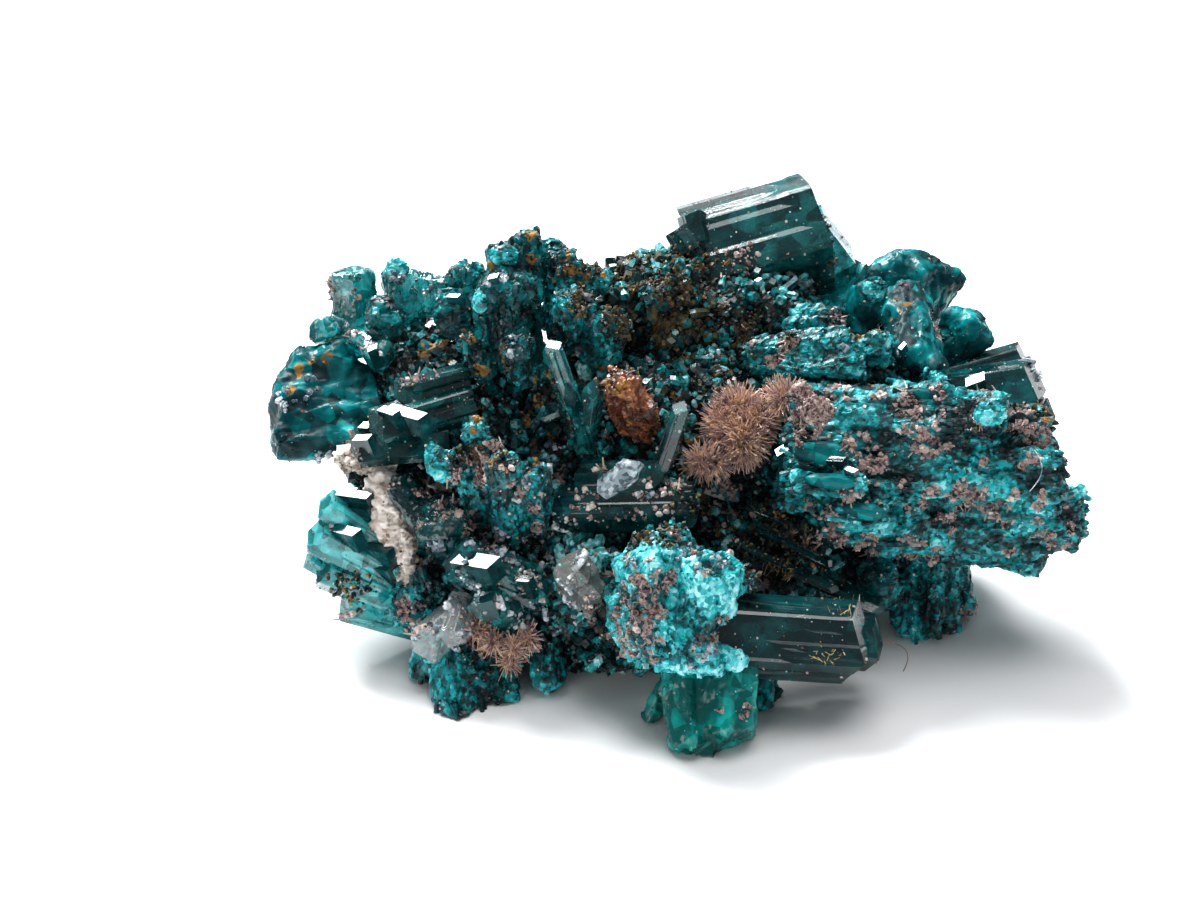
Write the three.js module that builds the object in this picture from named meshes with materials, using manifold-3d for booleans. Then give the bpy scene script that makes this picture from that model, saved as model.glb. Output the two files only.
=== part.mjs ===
// A dioptase specimen: dark teal trigonal crystals grown together on a small rock matrix.
//
// Places are millimetres in the plane of the front view: x to the right, y up and z towards
// the viewer, who looks down on the specimen. The last group turns that plane so that the
// specimen stands on z = 0 with +Z up. Hidden places at the back are given in the standing frame.

import * as THREE from 'three';
import { mergeVertices } from 'three/addons/utils/BufferGeometryUtils.js';
import Module from 'manifold-3d';

// Driving dimensions, in millimetres and degrees
const VIEW_ELEVATION = 28;
const FLOOR_DROP = 11.1;
const CLEARANCE = 0.3;
const RHOMB_SLOPE = 1.23;
const BLUNT_SLOPE = 0.35;
const BROKEN_SLOPE = 0.08;
const WORKING_BLOCK = 120;
const NEEDLE_SIDES = 3;
const NEEDLE_TAPER = 0.25;
const CRYSTAL_SIDES = 6;

// Colours of the minerals
const DEEP_TEAL = 0x0c4a4c;
const TURQUOISE = 0x16857d;
const BRIGHT_GREEN = 0x0f7a66;
const DARK_GREEN = 0x0b3733;
const ROCK = 0x4d4634;
const PINK_CRUST = 0x8f6c62;
const RUST = 0x7a4526;
const CLEAR = 0xc9d6d6;
const GREY = 0x8a978f;
const PALE_BLUE = 0x9ec3cf;

const wasm = await Module();
wasm.setup();

// Frames

const uprightTurn = THREE.MathUtils.degToRad(90 - VIEW_ELEVATION);
const toView = new THREE.Matrix4().makeRotationX(-uprightTurn);

function seen(x, y, z) {
  return new THREE.Vector3(x, y, z);
}

// A place in the standing frame: x to the right, y away from the viewer, z up from the floor
function standing(x, y, z) {
  return new THREE.Vector3(x, y, z - FLOOR_DROP).applyMatrix4(toView);
}

// Repeatable irregularity: the same place and salt always give the same number from 0 to 1
function chance(salt, index) {
  const wave = Math.sin(salt * 127.1 + index * 311.7) * 43758.5453;
  return wave - Math.floor(wave);
}

// Solids

function solidFrom(geometry) {
  geometry.deleteAttribute('normal');
  geometry.deleteAttribute('uv');
  const merged = mergeVertices(geometry, 1e-5);
  const mesh = new wasm.Mesh({
    numProp: 3,
    vertProperties: new Float32Array(merged.attributes.position.array),
    triVerts: new Uint32Array(merged.index.array),
  });
  return new wasm.Manifold(mesh);
}

function geometryFrom(solid) {
  const mesh = solid.getMesh();
  const geometry = new THREE.BufferGeometry();
  const corners = new Float32Array(mesh.vertProperties);
  geometry.setAttribute('position', new THREE.BufferAttribute(corners, mesh.numProp));
  geometry.setIndex(new THREE.BufferAttribute(new Uint32Array(mesh.triVerts), 1));
  geometry.computeVertexNormals();
  return geometry;
}

// Turns local +Y onto the direction from one place to another, with a spin about that axis
function alongAxis(from, to, spin) {
  const direction = new THREE.Vector3().subVectors(to, from).normalize();
  const aim = new THREE.Quaternion().setFromUnitVectors(new THREE.Vector3(0, 1, 0), direction);
  const roll = new THREE.Quaternion().setFromAxisAngle(
    new THREE.Vector3(0, 1, 0), THREE.MathUtils.degToRad(spin));
  return aim.multiply(roll);
}

// Each form below is a function of how much it is grown on all sides. At zero it is the
// mineral itself; grown by the clearance it cuts the socket for it in what lies behind.

// A six-sided prism whose upper end has the three rhomb faces of dioptase
function crystal(from, to, radius, { slope = RHOMB_SLOPE, flat = 1, spin = 0 } = {}) {
  return (growth) => {
    const reach = from.distanceTo(to);
    const side = radius + growth / Math.cos(Math.PI / 6);
    const tipGrowth = growth * Math.hypot(1, slope);
    const length = reach + growth + tipGrowth;
    const geometry = new THREE.CylinderGeometry(side, side, length, CRYSTAL_SIDES);
    const corner = geometry.attributes.position;
    for (let i = 0; i < corner.count; i += 1) {
      const x = corner.getX(i);
      const z = corner.getZ(i);
      const out = Math.hypot(x, z);
      if (corner.getY(i) > 0 && out > 0) {
        const sixth = Math.round(Math.atan2(z, x) / (Math.PI / 3) + 0.5);
        const drop = sixth % 2 === 0 ? out : out / 2;
        corner.setY(i, corner.getY(i) - drop * slope);
      }
      corner.setZ(i, z * flat);
    }
    geometry.translate(0, length / 2 - growth, 0);
    geometry.applyQuaternion(alongAxis(from, to, spin));
    geometry.translate(from.x, from.y, from.z);
    return solidFrom(geometry);
  };
}

// Crystals in parallel growth: one main prism with smaller ones stepped along its sides
function parallelGrowth(from, to, radius, { count = 3, salt = 1, slope = RHOMB_SLOPE, spin = 0 } = {}) {
  const axis = new THREE.Vector3().subVectors(to, from);
  const across = new THREE.Vector3(0, 0, 1).cross(axis).normalize();
  const forms = [crystal(from, to, radius, { slope, spin })];
  for (let i = 0; i < count; i += 1) {
    const angle = ((i + chance(salt, i) * 0.5) / count) * Math.PI * 2;
    const offset = across.clone().applyAxisAngle(axis.clone().normalize(), angle);
    offset.multiplyScalar(radius * (0.55 + 0.2 * chance(salt, i + 20)));
    const start = from.clone().add(offset);
    const end = from.clone().addScaledVector(axis, 0.62 + 0.3 * chance(salt, i + 40)).add(offset);
    const thickness = radius * (0.42 + 0.2 * chance(salt, i + 60));
    forms.push(crystal(start, end, thickness, { slope, spin: spin + 8 * i }));
  }
  return forms;
}

// A faceted lump: a subdivided icosahedron with its corners pushed in and out
function lump(centre, sizes, { detail = 0, rough = 0.16, salt = 1, turn = 0 } = {}) {
  return (growth) => {
    const geometry = new THREE.IcosahedronGeometry(1, detail);
    const corner = geometry.attributes.position;
    for (let i = 0; i < corner.count; i += 1) {
      const place = seen(corner.getX(i), corner.getY(i), corner.getZ(i));
      const grain = Math.round(place.x * 50) * 1.3 + Math.round(place.y * 50) * 2.7
        + Math.round(place.z * 50) * 4.1;
      place.multiplyScalar(1 + rough * (chance(salt, grain) * 2 - 1));
      corner.setXYZ(i, place.x, place.y, place.z);
    }
    geometry.scale(sizes[0] + growth, sizes[1] + growth, sizes[2] + growth);
    geometry.rotateZ(THREE.MathUtils.degToRad(turn));
    geometry.translate(centre.x, centre.y, centre.z);
    return solidFrom(geometry);
  };
}

// A burst of tapered needles from one centre, within an opening angle about an axis
function needles(centre, towards, length, { count = 24, opening = 75, width = 0.3, salt = 1 } = {}) {
  const axis = new THREE.Vector3().subVectors(towards, centre).normalize();
  const side = new THREE.Vector3(0.31, 0.87, 0.38).cross(axis).normalize();
  const goldenAngle = Math.PI * (3 - Math.sqrt(5));
  const forms = [];
  for (let i = 0; i < count; i += 1) {
    const lean = THREE.MathUtils.degToRad(opening) * Math.sqrt((i + 0.5) / count);
    const direction = axis.clone().applyAxisAngle(side, lean);
    direction.applyAxisAngle(axis, i * goldenAngle);
    const reach = length * (0.75 + 0.35 * chance(salt, i));
    forms.push((growth) => {
      const tip = centre.clone().addScaledVector(direction, reach);
      const geometry = new THREE.CylinderGeometry(
        width * NEEDLE_TAPER + growth, width + growth, reach + growth, NEEDLE_SIDES);
      geometry.translate(0, (reach + growth) / 2, 0);
      geometry.applyQuaternion(alongAxis(centre, tip, 40 * i));
      geometry.translate(centre.x, centre.y, centre.z);
      return solidFrom(geometry);
    });
  }
  return forms;
}

// Small crystals standing out of a lump, spread evenly over it
function druse(centre, sizes, { count = 20, radius = 0.6, rise = 1.2, salt = 1 } = {}) {
  const goldenAngle = Math.PI * (3 - Math.sqrt(5));
  const forms = [];
  for (let i = 0; i < count; i += 1) {
    const height = 1 - (2 * (i + 0.5)) / count;
    const ring = Math.sqrt(1 - height * height);
    const angle = i * goldenAngle + salt;
    const direction = seen(ring * Math.cos(angle), height, ring * Math.sin(angle));
    const root = direction.clone().multiply(seen(...sizes)).multiplyScalar(0.75).add(centre);
    const outward = direction.clone().divide(seen(...sizes)).normalize();
    outward.x += chance(salt, i) - 0.5;
    outward.y += chance(salt, i + 100) - 0.5;
    outward.z += chance(salt, i + 200) - 0.5;
    const reach = Math.min(...sizes) * 0.25 + rise * (0.6 + 0.8 * chance(salt, i + 300));
    const tip = root.clone().addScaledVector(outward.normalize(), reach);
    forms.push(crystal(root, tip, radius * (0.7 + 0.6 * chance(salt, i + 400)), { spin: 37 * i }));
  }
  return forms;
}

// The large prism at the top right, with the turquoise bit and the dark knob at its left end
const topPrism = [
  crystal(seen(1.6, 11.9, -8.8), seen(9.9, 14.3, -9.2), 4.5, { slope: BROKEN_SLOPE, spin: 12 }),
  crystal(seen(1.9, 13.2, -5.6), seen(1.4, 15.4, -6.0), 1.1, { slope: BLUNT_SLOPE }),
  crystal(seen(1.3, 12.6, -5.0), seen(0.4, 14.3, -5.4), 0.9, { slope: BLUNT_SLOPE, spin: 20 }),
];

const topTermination = [
  crystal(seen(5.4, 8.8, -11.2), seen(13.9, 12.7, -10.8), 3.2, { slope: 0.9, spin: 34 }),
  crystal(seen(10.6, 8.4, -9.4), seen(13.2, 12.2, -10.2), 1.2, { slope: BLUNT_SLOPE }),
];

// The domed knob and the column that hangs under it
const domeCluster = [
  crystal(seen(14.5, 8.0, -8.5), seen(15.9, 13.2, -6.8), 2.4, { slope: 0.45, spin: 10 }),
  crystal(seen(16.2, 8.4, -8.6), seen(18.0, 12.0, -7.2), 1.5, { slope: BLUNT_SLOPE, spin: 25 }),
  crystal(seen(14.0, 8.8, -7.4), seen(13.2, 12.3, -6.6), 1.2, { slope: BLUNT_SLOPE }),
  crystal(seen(11.9, 7.4, -5.6), seen(12.5, 11.0, -4.8), 1.3, { slope: BLUNT_SLOPE, spin: 15 }),
  crystal(seen(14.8, 10.2, -5.4), seen(14.6, 4.8, -0.6), 1.8, { slope: 0.6, spin: 20 }),
  crystal(seen(15.6, 8.6, -4.6), seen(16.0, 4.2, 0.6), 1.0, { spin: 5 }),
];

const rightKnob = [
  crystal(seen(16.4, 6.0, -6.4), seen(19.9, 8.3, -4.4), 1.6, { slope: BLUNT_SLOPE, spin: 20 }),
  crystal(seen(17.4, 6.8, -6.0), seen(17.9, 9.2, -4.6), 0.9, { slope: BLUNT_SLOPE }),
];

const rightDarkCrystal = [
  crystal(seen(14.6, 2.6, -4.8), seen(23.3, 4.0, -3.4), 2.3, { slope: 0.5, spin: 16 }),
  crystal(seen(16.0, 4.0, -5.8), seen(22.4, 5.8, -4.6), 1.4, { slope: BLUNT_SLOPE, spin: 30 }),
  crystal(seen(18.6, 2.0, -4.6), seen(23.9, 2.4, -3.6), 1.3, { slope: 0.6 }),
];

const upperRightCluster = [
  crystal(seen(4.8, 5.8, -1.4), seen(11.3, 6.7, 0.6), 1.5, { slope: 0.6, spin: 12 }),
  crystal(seen(6.9, 4.8, 0.2), seen(11.6, 5.4, 1.8), 1.1, { slope: 0.8, spin: 30 }),
  crystal(seen(10.0, 5.8, -1.4), seen(13.2, 6.6, 0.2), 1.3, { slope: BLUNT_SLOPE, spin: 5 }),
  crystal(seen(5.6, 7.4, -4.2), seen(10.6, 8.2, -1.8), 1.5, { slope: 0.6, spin: 20 }),
];

// The large rough bundle on the right: long prisms that dip a little to the right
const rightBundle = [
  crystal(seen(7.2, 2.2, 1.4), seen(19.6, 1.6, 3.2), 2.4, { slope: BLUNT_SLOPE, spin: 8 }),
  crystal(seen(6.4, -0.6, 2.4), seen(23.6, -1.7, 2.4), 2.7, { slope: BLUNT_SLOPE, spin: 20 }),
  crystal(seen(8.4, -3.3, 1.6), seen(25.0, -4.0, 0.6), 2.4, { slope: 0.5, spin: 3 }),
  crystal(seen(11.6, -5.0, -0.6), seen(23.2, -5.8, -1.2), 1.6, { slope: BLUNT_SLOPE, spin: 14 }),
  crystal(seen(13.0, 1.2, 1.6), seen(22.6, 1.2, 1.4), 2.1, { slope: BLUNT_SLOPE, spin: 26 }),
  crystal(seen(14.6, -1.2, -2.6), seen(22.8, -1.0, -2.4), 2.4, { slope: BLUNT_SLOPE, spin: 9 }),
  crystal(seen(6.9, -1.5, 5.2), seen(11.3, -1.9, 5.8), 0.8, { slope: 0.8, spin: 22 }),
  crystal(seen(9.0, -3.0, 4.2), seen(12.7, -3.3, 4.8), 0.8, { slope: 0.8 }),
  crystal(seen(13.2, 3.3, 2.2), seen(16.4, 3.8, 3.4), 0.8, { slope: BROKEN_SLOPE, spin: 15 }),
  lump(seen(18.7, 2.6, 4.0), [1.1, 1.0, 1.0], { salt: 5 }),
  lump(seen(20.6, 1.9, 3.0), [1.3, 1.1, 1.2], { salt: 6 }),
  lump(seen(23.4, -4.4, 1.4), [1.3, 1.2, 1.2], { salt: 8 }),
];

const lowerRightBlock = [
  crystal(seen(15.6, -4.6, -4.6), seen(15.9, -11.6, -3.2), 2.3, { slope: 0.2, spin: 14 }),
  crystal(seen(13.6, -5.2, -3.6), seen(14.2, -9.6, -2.4), 1.5, { slope: BLUNT_SLOPE, spin: 25 }),
  crystal(seen(17.2, -5.6, -4.6), seen(17.8, -10.2, -3.8), 1.5, { slope: BLUNT_SLOPE, spin: 4 }),
];

const cavityBlades = [
  crystal(seen(3.6, -5.2, 1.2), seen(9.8, -8.0, 3.2), 0.9, { flat: 0.45, slope: 0.6, spin: 40 }),
  crystal(seen(8.2, -7.4, 0.6), seen(12.6, -9.2, 2.2), 0.9, { flat: 0.45, slope: 0.6, spin: 60 }),
  crystal(seen(4.4, -3.2, 1.2), seen(10.0, -5.4, 2.6), 0.9, { flat: 0.5, slope: 0.6, spin: 30 }),
  lump(seen(7.4, -6.2, 0.4), [4.2, 2.6, 2.2], { salt: 11, turn: -25 }),
];

// The dark prism that lies along the front right
const rightFootPrism = [
  crystal(seen(1.6, -10.2, 7.0), seen(11.4, -10.9, 5.8), 2.5, { slope: 0.7, spin: 10 }),
  crystal(seen(7.2, -10.6, 5.2), seen(12.2, -11.1, 4.6), 1.7, { slope: 0.6, spin: 28 }),
  crystal(seen(3.4, -9.3, 7.6), seen(9.2, -9.9, 7.0), 1.3, { slope: BLUNT_SLOPE, spin: 20 }),
];

const turquoiseCluster = [
  crystal(seen(-0.9, -11.4, 6.6), seen(-1.7, -4.8, 9.6), 2.2, { slope: 0.5, spin: 12 }),
  crystal(seen(1.2, -10.8, 7.4), seen(1.7, -5.2, 9.8), 2.3, { slope: 0.5, spin: 30 }),
  crystal(seen(2.6, -9.6, 6.4), seen(3.6, -6.2, 8.2), 1.6, { slope: BLUNT_SLOPE, spin: 3 }),
  crystal(seen(-2.1, -11.0, 5.6), seen(-3.2, -7.4, 8.0), 1.4, { slope: BLUNT_SLOPE, spin: 21 }),
  crystal(seen(-0.2, -8.2, 6.2), seen(-0.2, -4.0, 8.4), 1.5, { slope: 0.6, spin: 8 }),
  lump(seen(-0.6, -10.2, 9.2), [2.7, 2.5, 2.0], { salt: 13 }),
  lump(seen(1.9, -11.2, 8.6), [2.2, 1.8, 1.9], { salt: 14 }),
];

// The foot that the specimen stands on at the front
const footPrism = [
  crystal(seen(2.7, -9.8, 6.4), seen(2.8, -16.9, 7.8), 2.2, { slope: 0.6, spin: 8 }),
  crystal(seen(0.3, -10.2, 6.8), seen(0.7, -17.0, 8.4), 1.4, { slope: BLUNT_SLOPE, spin: 24 }),
  crystal(seen(1.5, -12.6, 6.8), seen(1.8, -18.6, 8.0), 1.2, { slope: BROKEN_SLOPE, spin: 5 }),
  crystal(seen(0.0, -12.4, 6.4), seen(-1.6, -15.6, 5.4), 0.8, { slope: BLUNT_SLOPE, spin: 14 }),
];

const footSideCrystal = [
  crystal(seen(4.4, -11.4, 2.8), seen(6.1, -16.0, 3.2), 0.9, { slope: BLUNT_SLOPE, spin: 10 }),
  crystal(seen(4.9, -11.8, 4.4), seen(5.2, -15.0, 4.8), 0.8, { slope: BLUNT_SLOPE, spin: 32 }),
];

const bottomLeftCluster = [
  crystal(seen(-13.0, -9.2, 1.4), seen(-12.6, -17.0, 4.2), 2.0, { slope: 0.3, spin: 11 }),
  crystal(seen(-10.7, -9.8, 1.4), seen(-10.3, -15.4, 3.4), 1.5, { slope: BLUNT_SLOPE, spin: 27 }),
  crystal(seen(-14.0, -9.6, 0.6), seen(-14.8, -13.8, 2.2), 1.3, { slope: BLUNT_SLOPE, spin: 4 }),
  crystal(seen(-8.0, -9.4, 2.2), seen(-7.2, -13.9, 3.4), 1.1, { slope: BLUNT_SLOPE, spin: 19 }),
  lump(seen(-10.4, -11.1, 2.0), [3.6, 1.7, 1.8], { salt: 17 }),
];

// The striated prisms at the lower left, which dip to the right
const leftBundle = [
  crystal(seen(-14.6, -6.9, -0.4), seen(-21.1, -2.7, 1.8), 1.2, { slope: 0.5, spin: 6 }),
  crystal(seen(-14.6, -8.7, -0.6), seen(-21.8, -4.5, 1.8), 1.4, { slope: 0.5, spin: 16 }),
  crystal(seen(-14.6, -9.7, -1.0), seen(-21.4, -6.6, 1.4), 1.4, { slope: 0.5, spin: 28 }),
  crystal(seen(-14.8, -10.4, -1.4), seen(-20.0, -8.8, 0.6), 1.2, { slope: 0.4, spin: 3 }),
  crystal(seen(-18.2, -8.1, 0.6), seen(-21.9, -5.9, 1.4), 0.9, { slope: BLUNT_SLOPE, spin: 20 }),
];

const leftCrystal = [
  crystal(seen(-14.8, 3.6, -4.6), seen(-25.0, 2.2, -2.6), 3.0, { slope: 0.4, spin: 10 }),
  crystal(seen(-18.8, 3.6, -3.6), seen(-23.8, 5.8, -2.8), 1.5, { slope: BLUNT_SLOPE, spin: 24 }),
  crystal(seen(-19.0, 1.4, -1.8), seen(-24.7, 0.8, -0.8), 1.6, { slope: BLUNT_SLOPE, spin: 5 }),
  crystal(seen(-17.8, 2.4, -3.4), seen(-21.5, 6.8, -2.6), 1.5, { slope: BLUNT_SLOPE, spin: 14 }),
];

const glintCrystal = [
  crystal(seen(-12.4, 3.2, 0.4), seen(-18.0, 1.4, 3.4), 1.4, { slope: 0.5, spin: 4 }),
  crystal(seen(-13.6, 0.9, 1.2), seen(-19.2, 0.3, 2.8), 1.1, { slope: 0.5, spin: 22 }),
  crystal(seen(-12.6, 4.6, 0.2), seen(-16.6, 3.4, 2.4), 1.1, { slope: 0.5, spin: 13 }),
];

const upperLeftCluster = [
  crystal(seen(-19.6, 6.2, -5.4), seen(-19.8, 11.6, -4.2), 1.7, { slope: BROKEN_SLOPE, spin: 9 }),
  crystal(seen(-18.6, 6.4, -4.6), seen(-22.5, 8.0, -3.2), 1.3, { slope: 0.9, spin: 12 }),
  crystal(seen(-17.4, 4.8, -2.8), seen(-18.1, 7.0, -0.8), 1.1, { slope: BROKEN_SLOPE, spin: 25 }),
  lump(seen(-19.0, 7.2, -2.4), [1.1, 0.9, 1.1], { salt: 19 }),
];

const upperLeftKnobs = [
  crystal(seen(-16.9, 6.8, -5.2), seen(-17.6, 11.8, -4.4), 1.1, { slope: 0.5, spin: 5 }),
  crystal(seen(-15.8, 7.0, -5.0), seen(-15.9, 11.9, -4.4), 1.1, { slope: 0.5, spin: 24 }),
  crystal(seen(-14.2, 6.6, -4.6), seen(-14.5, 11.5, -4.0), 1.3, { slope: 0.5, spin: 14 }),
];

const upperMiddleCluster = [
  crystal(seen(-8.9, 9.4, -1.8), seen(-8.6, 13.9, -1.2), 1.1, { slope: 0.4, spin: 10 }),
  crystal(seen(-10.0, 8.6, -1.0), seen(-10.1, 12.9, 0.2), 1.4, { slope: BROKEN_SLOPE, spin: 16 }),
  crystal(seen(-9.5, 5.6, -0.8), seen(-10.0, 11.3, 1.4), 2.2, { slope: 0.5, spin: 4 }),
  crystal(seen(-11.6, 6.4, -1.8), seen(-12.8, 11.9, -1.6), 1.3, { slope: 0.6, spin: 27 }),
  crystal(seen(-8.8, 4.4, 1.2), seen(-9.3, 7.4, 3.8), 1.2, { slope: BLUNT_SLOPE, spin: 22 }),
  crystal(seen(-11.2, 4.6, 0.6), seen(-12.6, 7.4, 2.6), 1.0, { spin: 8 }),
];

const upperMiddleShoulder = [
  crystal(seen(-7.1, 7.6, -2.2), seen(-6.8, 12.7, -1.6), 1.3, { slope: 0.6, spin: 11 }),
  crystal(seen(-5.0, 7.4, -3.0), seen(-4.9, 11.9, -2.4), 1.3, { slope: 0.6, spin: 26 }),
  crystal(seen(-6.4, 6.4, -0.8), seen(-5.8, 10.0, 1.6), 1.6, { slope: 0.6, spin: 3 }),
  crystal(seen(-4.4, 5.6, -0.6), seen(-3.6, 8.6, 1.6), 1.3, { slope: 0.7, spin: 19 }),
];

// The middle of the front

const centreFan = [
  crystal(seen(-5.2, 0.6, 1.4), seen(-4.6, 4.6, 4.4), 1.2, { flat: 0.5, spin: 10 }),
  crystal(seen(-5.0, 0.6, 1.6), seen(-6.4, 4.2, 4.4), 1.0, { flat: 0.5, spin: 35 }),
  crystal(seen(-6.0, 2.8, 3.2), seen(-7.4, 6.8, 3.6), 1.0, { flat: 0.6, slope: 0.7, spin: 50 }),
];

const rustCrystal = [
  crystal(seen(-2.2, 1.4, 0.6), seen(-3.3, 4.6, 4.6), 1.3, { slope: 0.5, spin: 20 }),
  crystal(seen(-1.6, 1.2, 1.4), seen(-2.2, 3.2, 4.2), 1.1, { slope: BLUNT_SLOPE, spin: 8 }),
];

const pinkSpray = [
  ...needles(seen(3.2, 0.8, 1.2), seen(4.6, 2.6, 6.0), 3.8, { count: 10, opening: 72, width: 0.55 }),
  lump(seen(3.4, 1.0, 2.0), [2.0, 2.0, 1.8], { salt: 23 }),
];

const pinkLump = [
  lump(seen(8.2, 2.6, 5.4), [1.4, 1.0, 1.0], { rough: 0.2, salt: 25 }),
  lump(seen(7.4, 3.6, 4.6), [0.8, 0.7, 0.8], { salt: 26 }),
];

const centreColumns = [
  crystal(seen(-9.6, -4.8, 2.2), seen(-10.0, 0.0, 6.2), 1.2, { slope: 0.5, spin: 12 }),
  crystal(seen(-8.4, -4.4, 2.4), seen(-8.0, -0.6, 6.0), 1.1, { slope: 0.5, spin: 29 }),
  crystal(seen(-10.3, -3.2, 3.0), seen(-13.6, 0.0, 4.4), 1.1, { slope: BLUNT_SLOPE, spin: 5 }),
  crystal(seen(-10.2, -0.8, 4.0), seen(-12.2, 2.2, 4.2), 1.0, { slope: 0.8, spin: 18 }),
];

const darkPrism = [
  crystal(seen(-6.8, -3.2, 2.0), seen(1.4, -3.0, 4.6), 1.5, { slope: 0.6, spin: 12 }),
  crystal(seen(-5.4, -1.6, 2.0), seen(-0.6, -1.4, 4.4), 1.2, { slope: 0.6, spin: 30 }),
  crystal(seen(-0.9, -1.2, 3.2), seen(0.6, 3.2, 3.8), 1.0, { flat: 0.6, slope: 0.9, spin: 16 }),
];

const whitePyramid = [
  crystal(seen(-2.8, -1.8, 3.0), seen(-3.4, -0.8, 6.2), 1.2, { slope: 0.9, spin: 15 }),
];

const centreBlock = [
  crystal(seen(-12.6, -5.8, 1.0), seen(-14.2, -3.4, 4.6), 1.7, { slope: BLUNT_SLOPE, spin: 14 }),
  crystal(seen(-13.8, -5.2, 2.4), seen(-16.8, -1.2, 3.0), 1.1, { flat: 0.5, slope: 0.8, spin: 40 }),
];

const facetPrism = [
  crystal(seen(-8.2, -8.2, 2.4), seen(-13.0, -5.9, 5.2), 1.5, { slope: BLUNT_SLOPE, spin: 2 }),
  crystal(seen(-9.0, -10.0, 2.2), seen(-11.4, -8.2, 5.4), 1.2, { slope: 0.6, spin: 19 }),
  crystal(seen(-7.6, -8.6, 2.8), seen(-9.0, -6.8, 5.0), 0.9, { slope: 0.6, spin: 33 }),
];

const lowerDruse = [
  ...druse(seen(-14.4, -8.2, 1.4), [2.4, 1.6, 1.8], { count: 6, radius: 0.8, rise: 1.1, salt: 31 }),
  lump(seen(-14.4, -8.2, 1.4), [2.2, 1.4, 1.6], { salt: 31 }),
];

const clearCrystal = [
  crystal(seen(-12.2, -9.2, 2.6), seen(-15.2, -11.6, 4.4), 1.3, { slope: 0.7, spin: 12 }),
  crystal(seen(-12.4, -8.6, 3.4), seen(-13.2, -11.2, 5.2), 1.0, { slope: 0.8, spin: 27 }),
];

const greyCrystal = [
  crystal(seen(-5.6, -8.0, 4.6), seen(-5.9, -6.2, 8.2), 1.3, { slope: 0.8, spin: 6 }),
  crystal(seen(-5.0, -8.4, 5.0), seen(-4.9, -7.4, 7.8), 0.9, { slope: 0.8, spin: 24 }),
];

const pinkStars = [
  ...needles(seen(-9.8, -10.9, 3.4), seen(-9.8, -11.6, 6.0), 2.6, { count: 5, width: 0.5 }),
  lump(seen(-9.6, -10.9, 3.4), [1.9, 0.9, 1.1], { salt: 29 }),
];

// The back, hidden in the front view

const backLeftCluster = parallelGrowth(
  standing(-12.0, 2.0, 9.0), standing(-18.6, 11.0, 12.6), 2.6, { salt: 41 });

const backLeftUpperCrystal = [
  crystal(standing(-10.0, 5.0, 12.0), standing(-12.6, 13.2, 14.6), 1.8, { spin: 15 }),
];

const backLeftLowerCrystal = [
  crystal(standing(-13.0, 3.0, 6.0), standing(-17.6, 9.6, 4.6), 1.9, { slope: 0.7, spin: 27 }),
];

const backMiddleCluster = parallelGrowth(
  standing(-3.0, 6.0, 10.0), standing(-4.6, 15.0, 12.4), 2.4, { salt: 43, spin: 9 });

const backMiddleRightCrystal = [
  crystal(standing(1.0, 6.0, 6.0), standing(2.6, 14.4, 6.6), 2.2, { slope: 0.7, spin: 20 }),
];

const backMiddleLeftCrystal = [
  crystal(standing(-6.0, 6.0, 5.0), standing(-8.2, 13.0, 5.4), 1.8, { spin: 5 }),
];

const backRightCluster = parallelGrowth(
  standing(10.0, 4.0, 8.0), standing(15.4, 12.6, 10.4), 2.4, { salt: 47, spin: 17 });

const backRightLowerCrystal = [
  crystal(standing(12.0, 2.0, 5.0), standing(19.0, 7.6, 5.0), 2.0, { slope: 0.7, spin: 3 }),
];

// The rock that carries them all. It was broken off flat where it grew on its bed.
const rock = [
  lump(seen(-1.0, 0.6, -4.0), [13.4, 7.8, 7.0], { rough: 0.08, salt: 51 }),
  lump(seen(-0.6, 8.8, -5.4), [5.6, 4.0, 5.2], { rough: 0.1, salt: 52 }),
  lump(seen(4.6, 8.0, -6.0), [6.0, 4.2, 5.0], { rough: 0.1, salt: 50 }),
  lump(seen(-12.6, 2.6, -3.8), [6.4, 5.6, 5.0], { detail: 1, salt: 53 }),
  lump(seen(-11.0, -6.8, -1.2), [5.8, 4.4, 4.4], { rough: 0.1, salt: 54 }),
  lump(seen(12.0, 1.8, -4.4), [7.2, 5.8, 5.2], { rough: 0.1, salt: 55 }),
  lump(seen(-3.6, -8.8, 0.8), [6.8, 5.1, 5.4], { rough: 0.1, salt: 56 }),
  lump(seen(7.2, -5.4, -2.2), [6.4, 4.6, 4.4], { rough: 0.1, salt: 57 }),
  lump(standing(0.0, 4.0, 5.0), [12.0, 7.4, 6.4], { detail: 1, rough: 0.12, salt: 58 }),
  lump(standing(8.0, 9.0, 12.4), [6.4, 4.2, 4.8], { salt: 64 }),
  lump(seen(-17.4, -3.2, -0.6), [2.0, 3.0, 1.8], { salt: 59, turn: 12 }),
  lump(seen(-18.6, -0.6, -1.4), [2.2, 1.5, 1.8], { salt: 60 }),
];

// Small crystals and crust on the rock, fused to it
const rockDruse = [
  ...druse(seen(-1.0, 0.6, -4.0), [13.0, 7.4, 6.6], { count: 7, radius: 1.6, rise: 1.6, salt: 61 }),
  ...druse(seen(-0.6, 8.8, -5.4), [5.4, 3.8, 5.0], { count: 3, radius: 1.3, rise: 1.3, salt: 62 }),
  ...druse(seen(4.6, 8.0, -6.0), [5.6, 4.0, 4.6], { count: 3, radius: 1.3, rise: 1.3, salt: 63 }),
  ...druse(seen(-3.6, -8.8, 0.8), [6.6, 4.9, 5.0], { count: 3, radius: 1.3, rise: 1.2, salt: 66 }),
];

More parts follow.
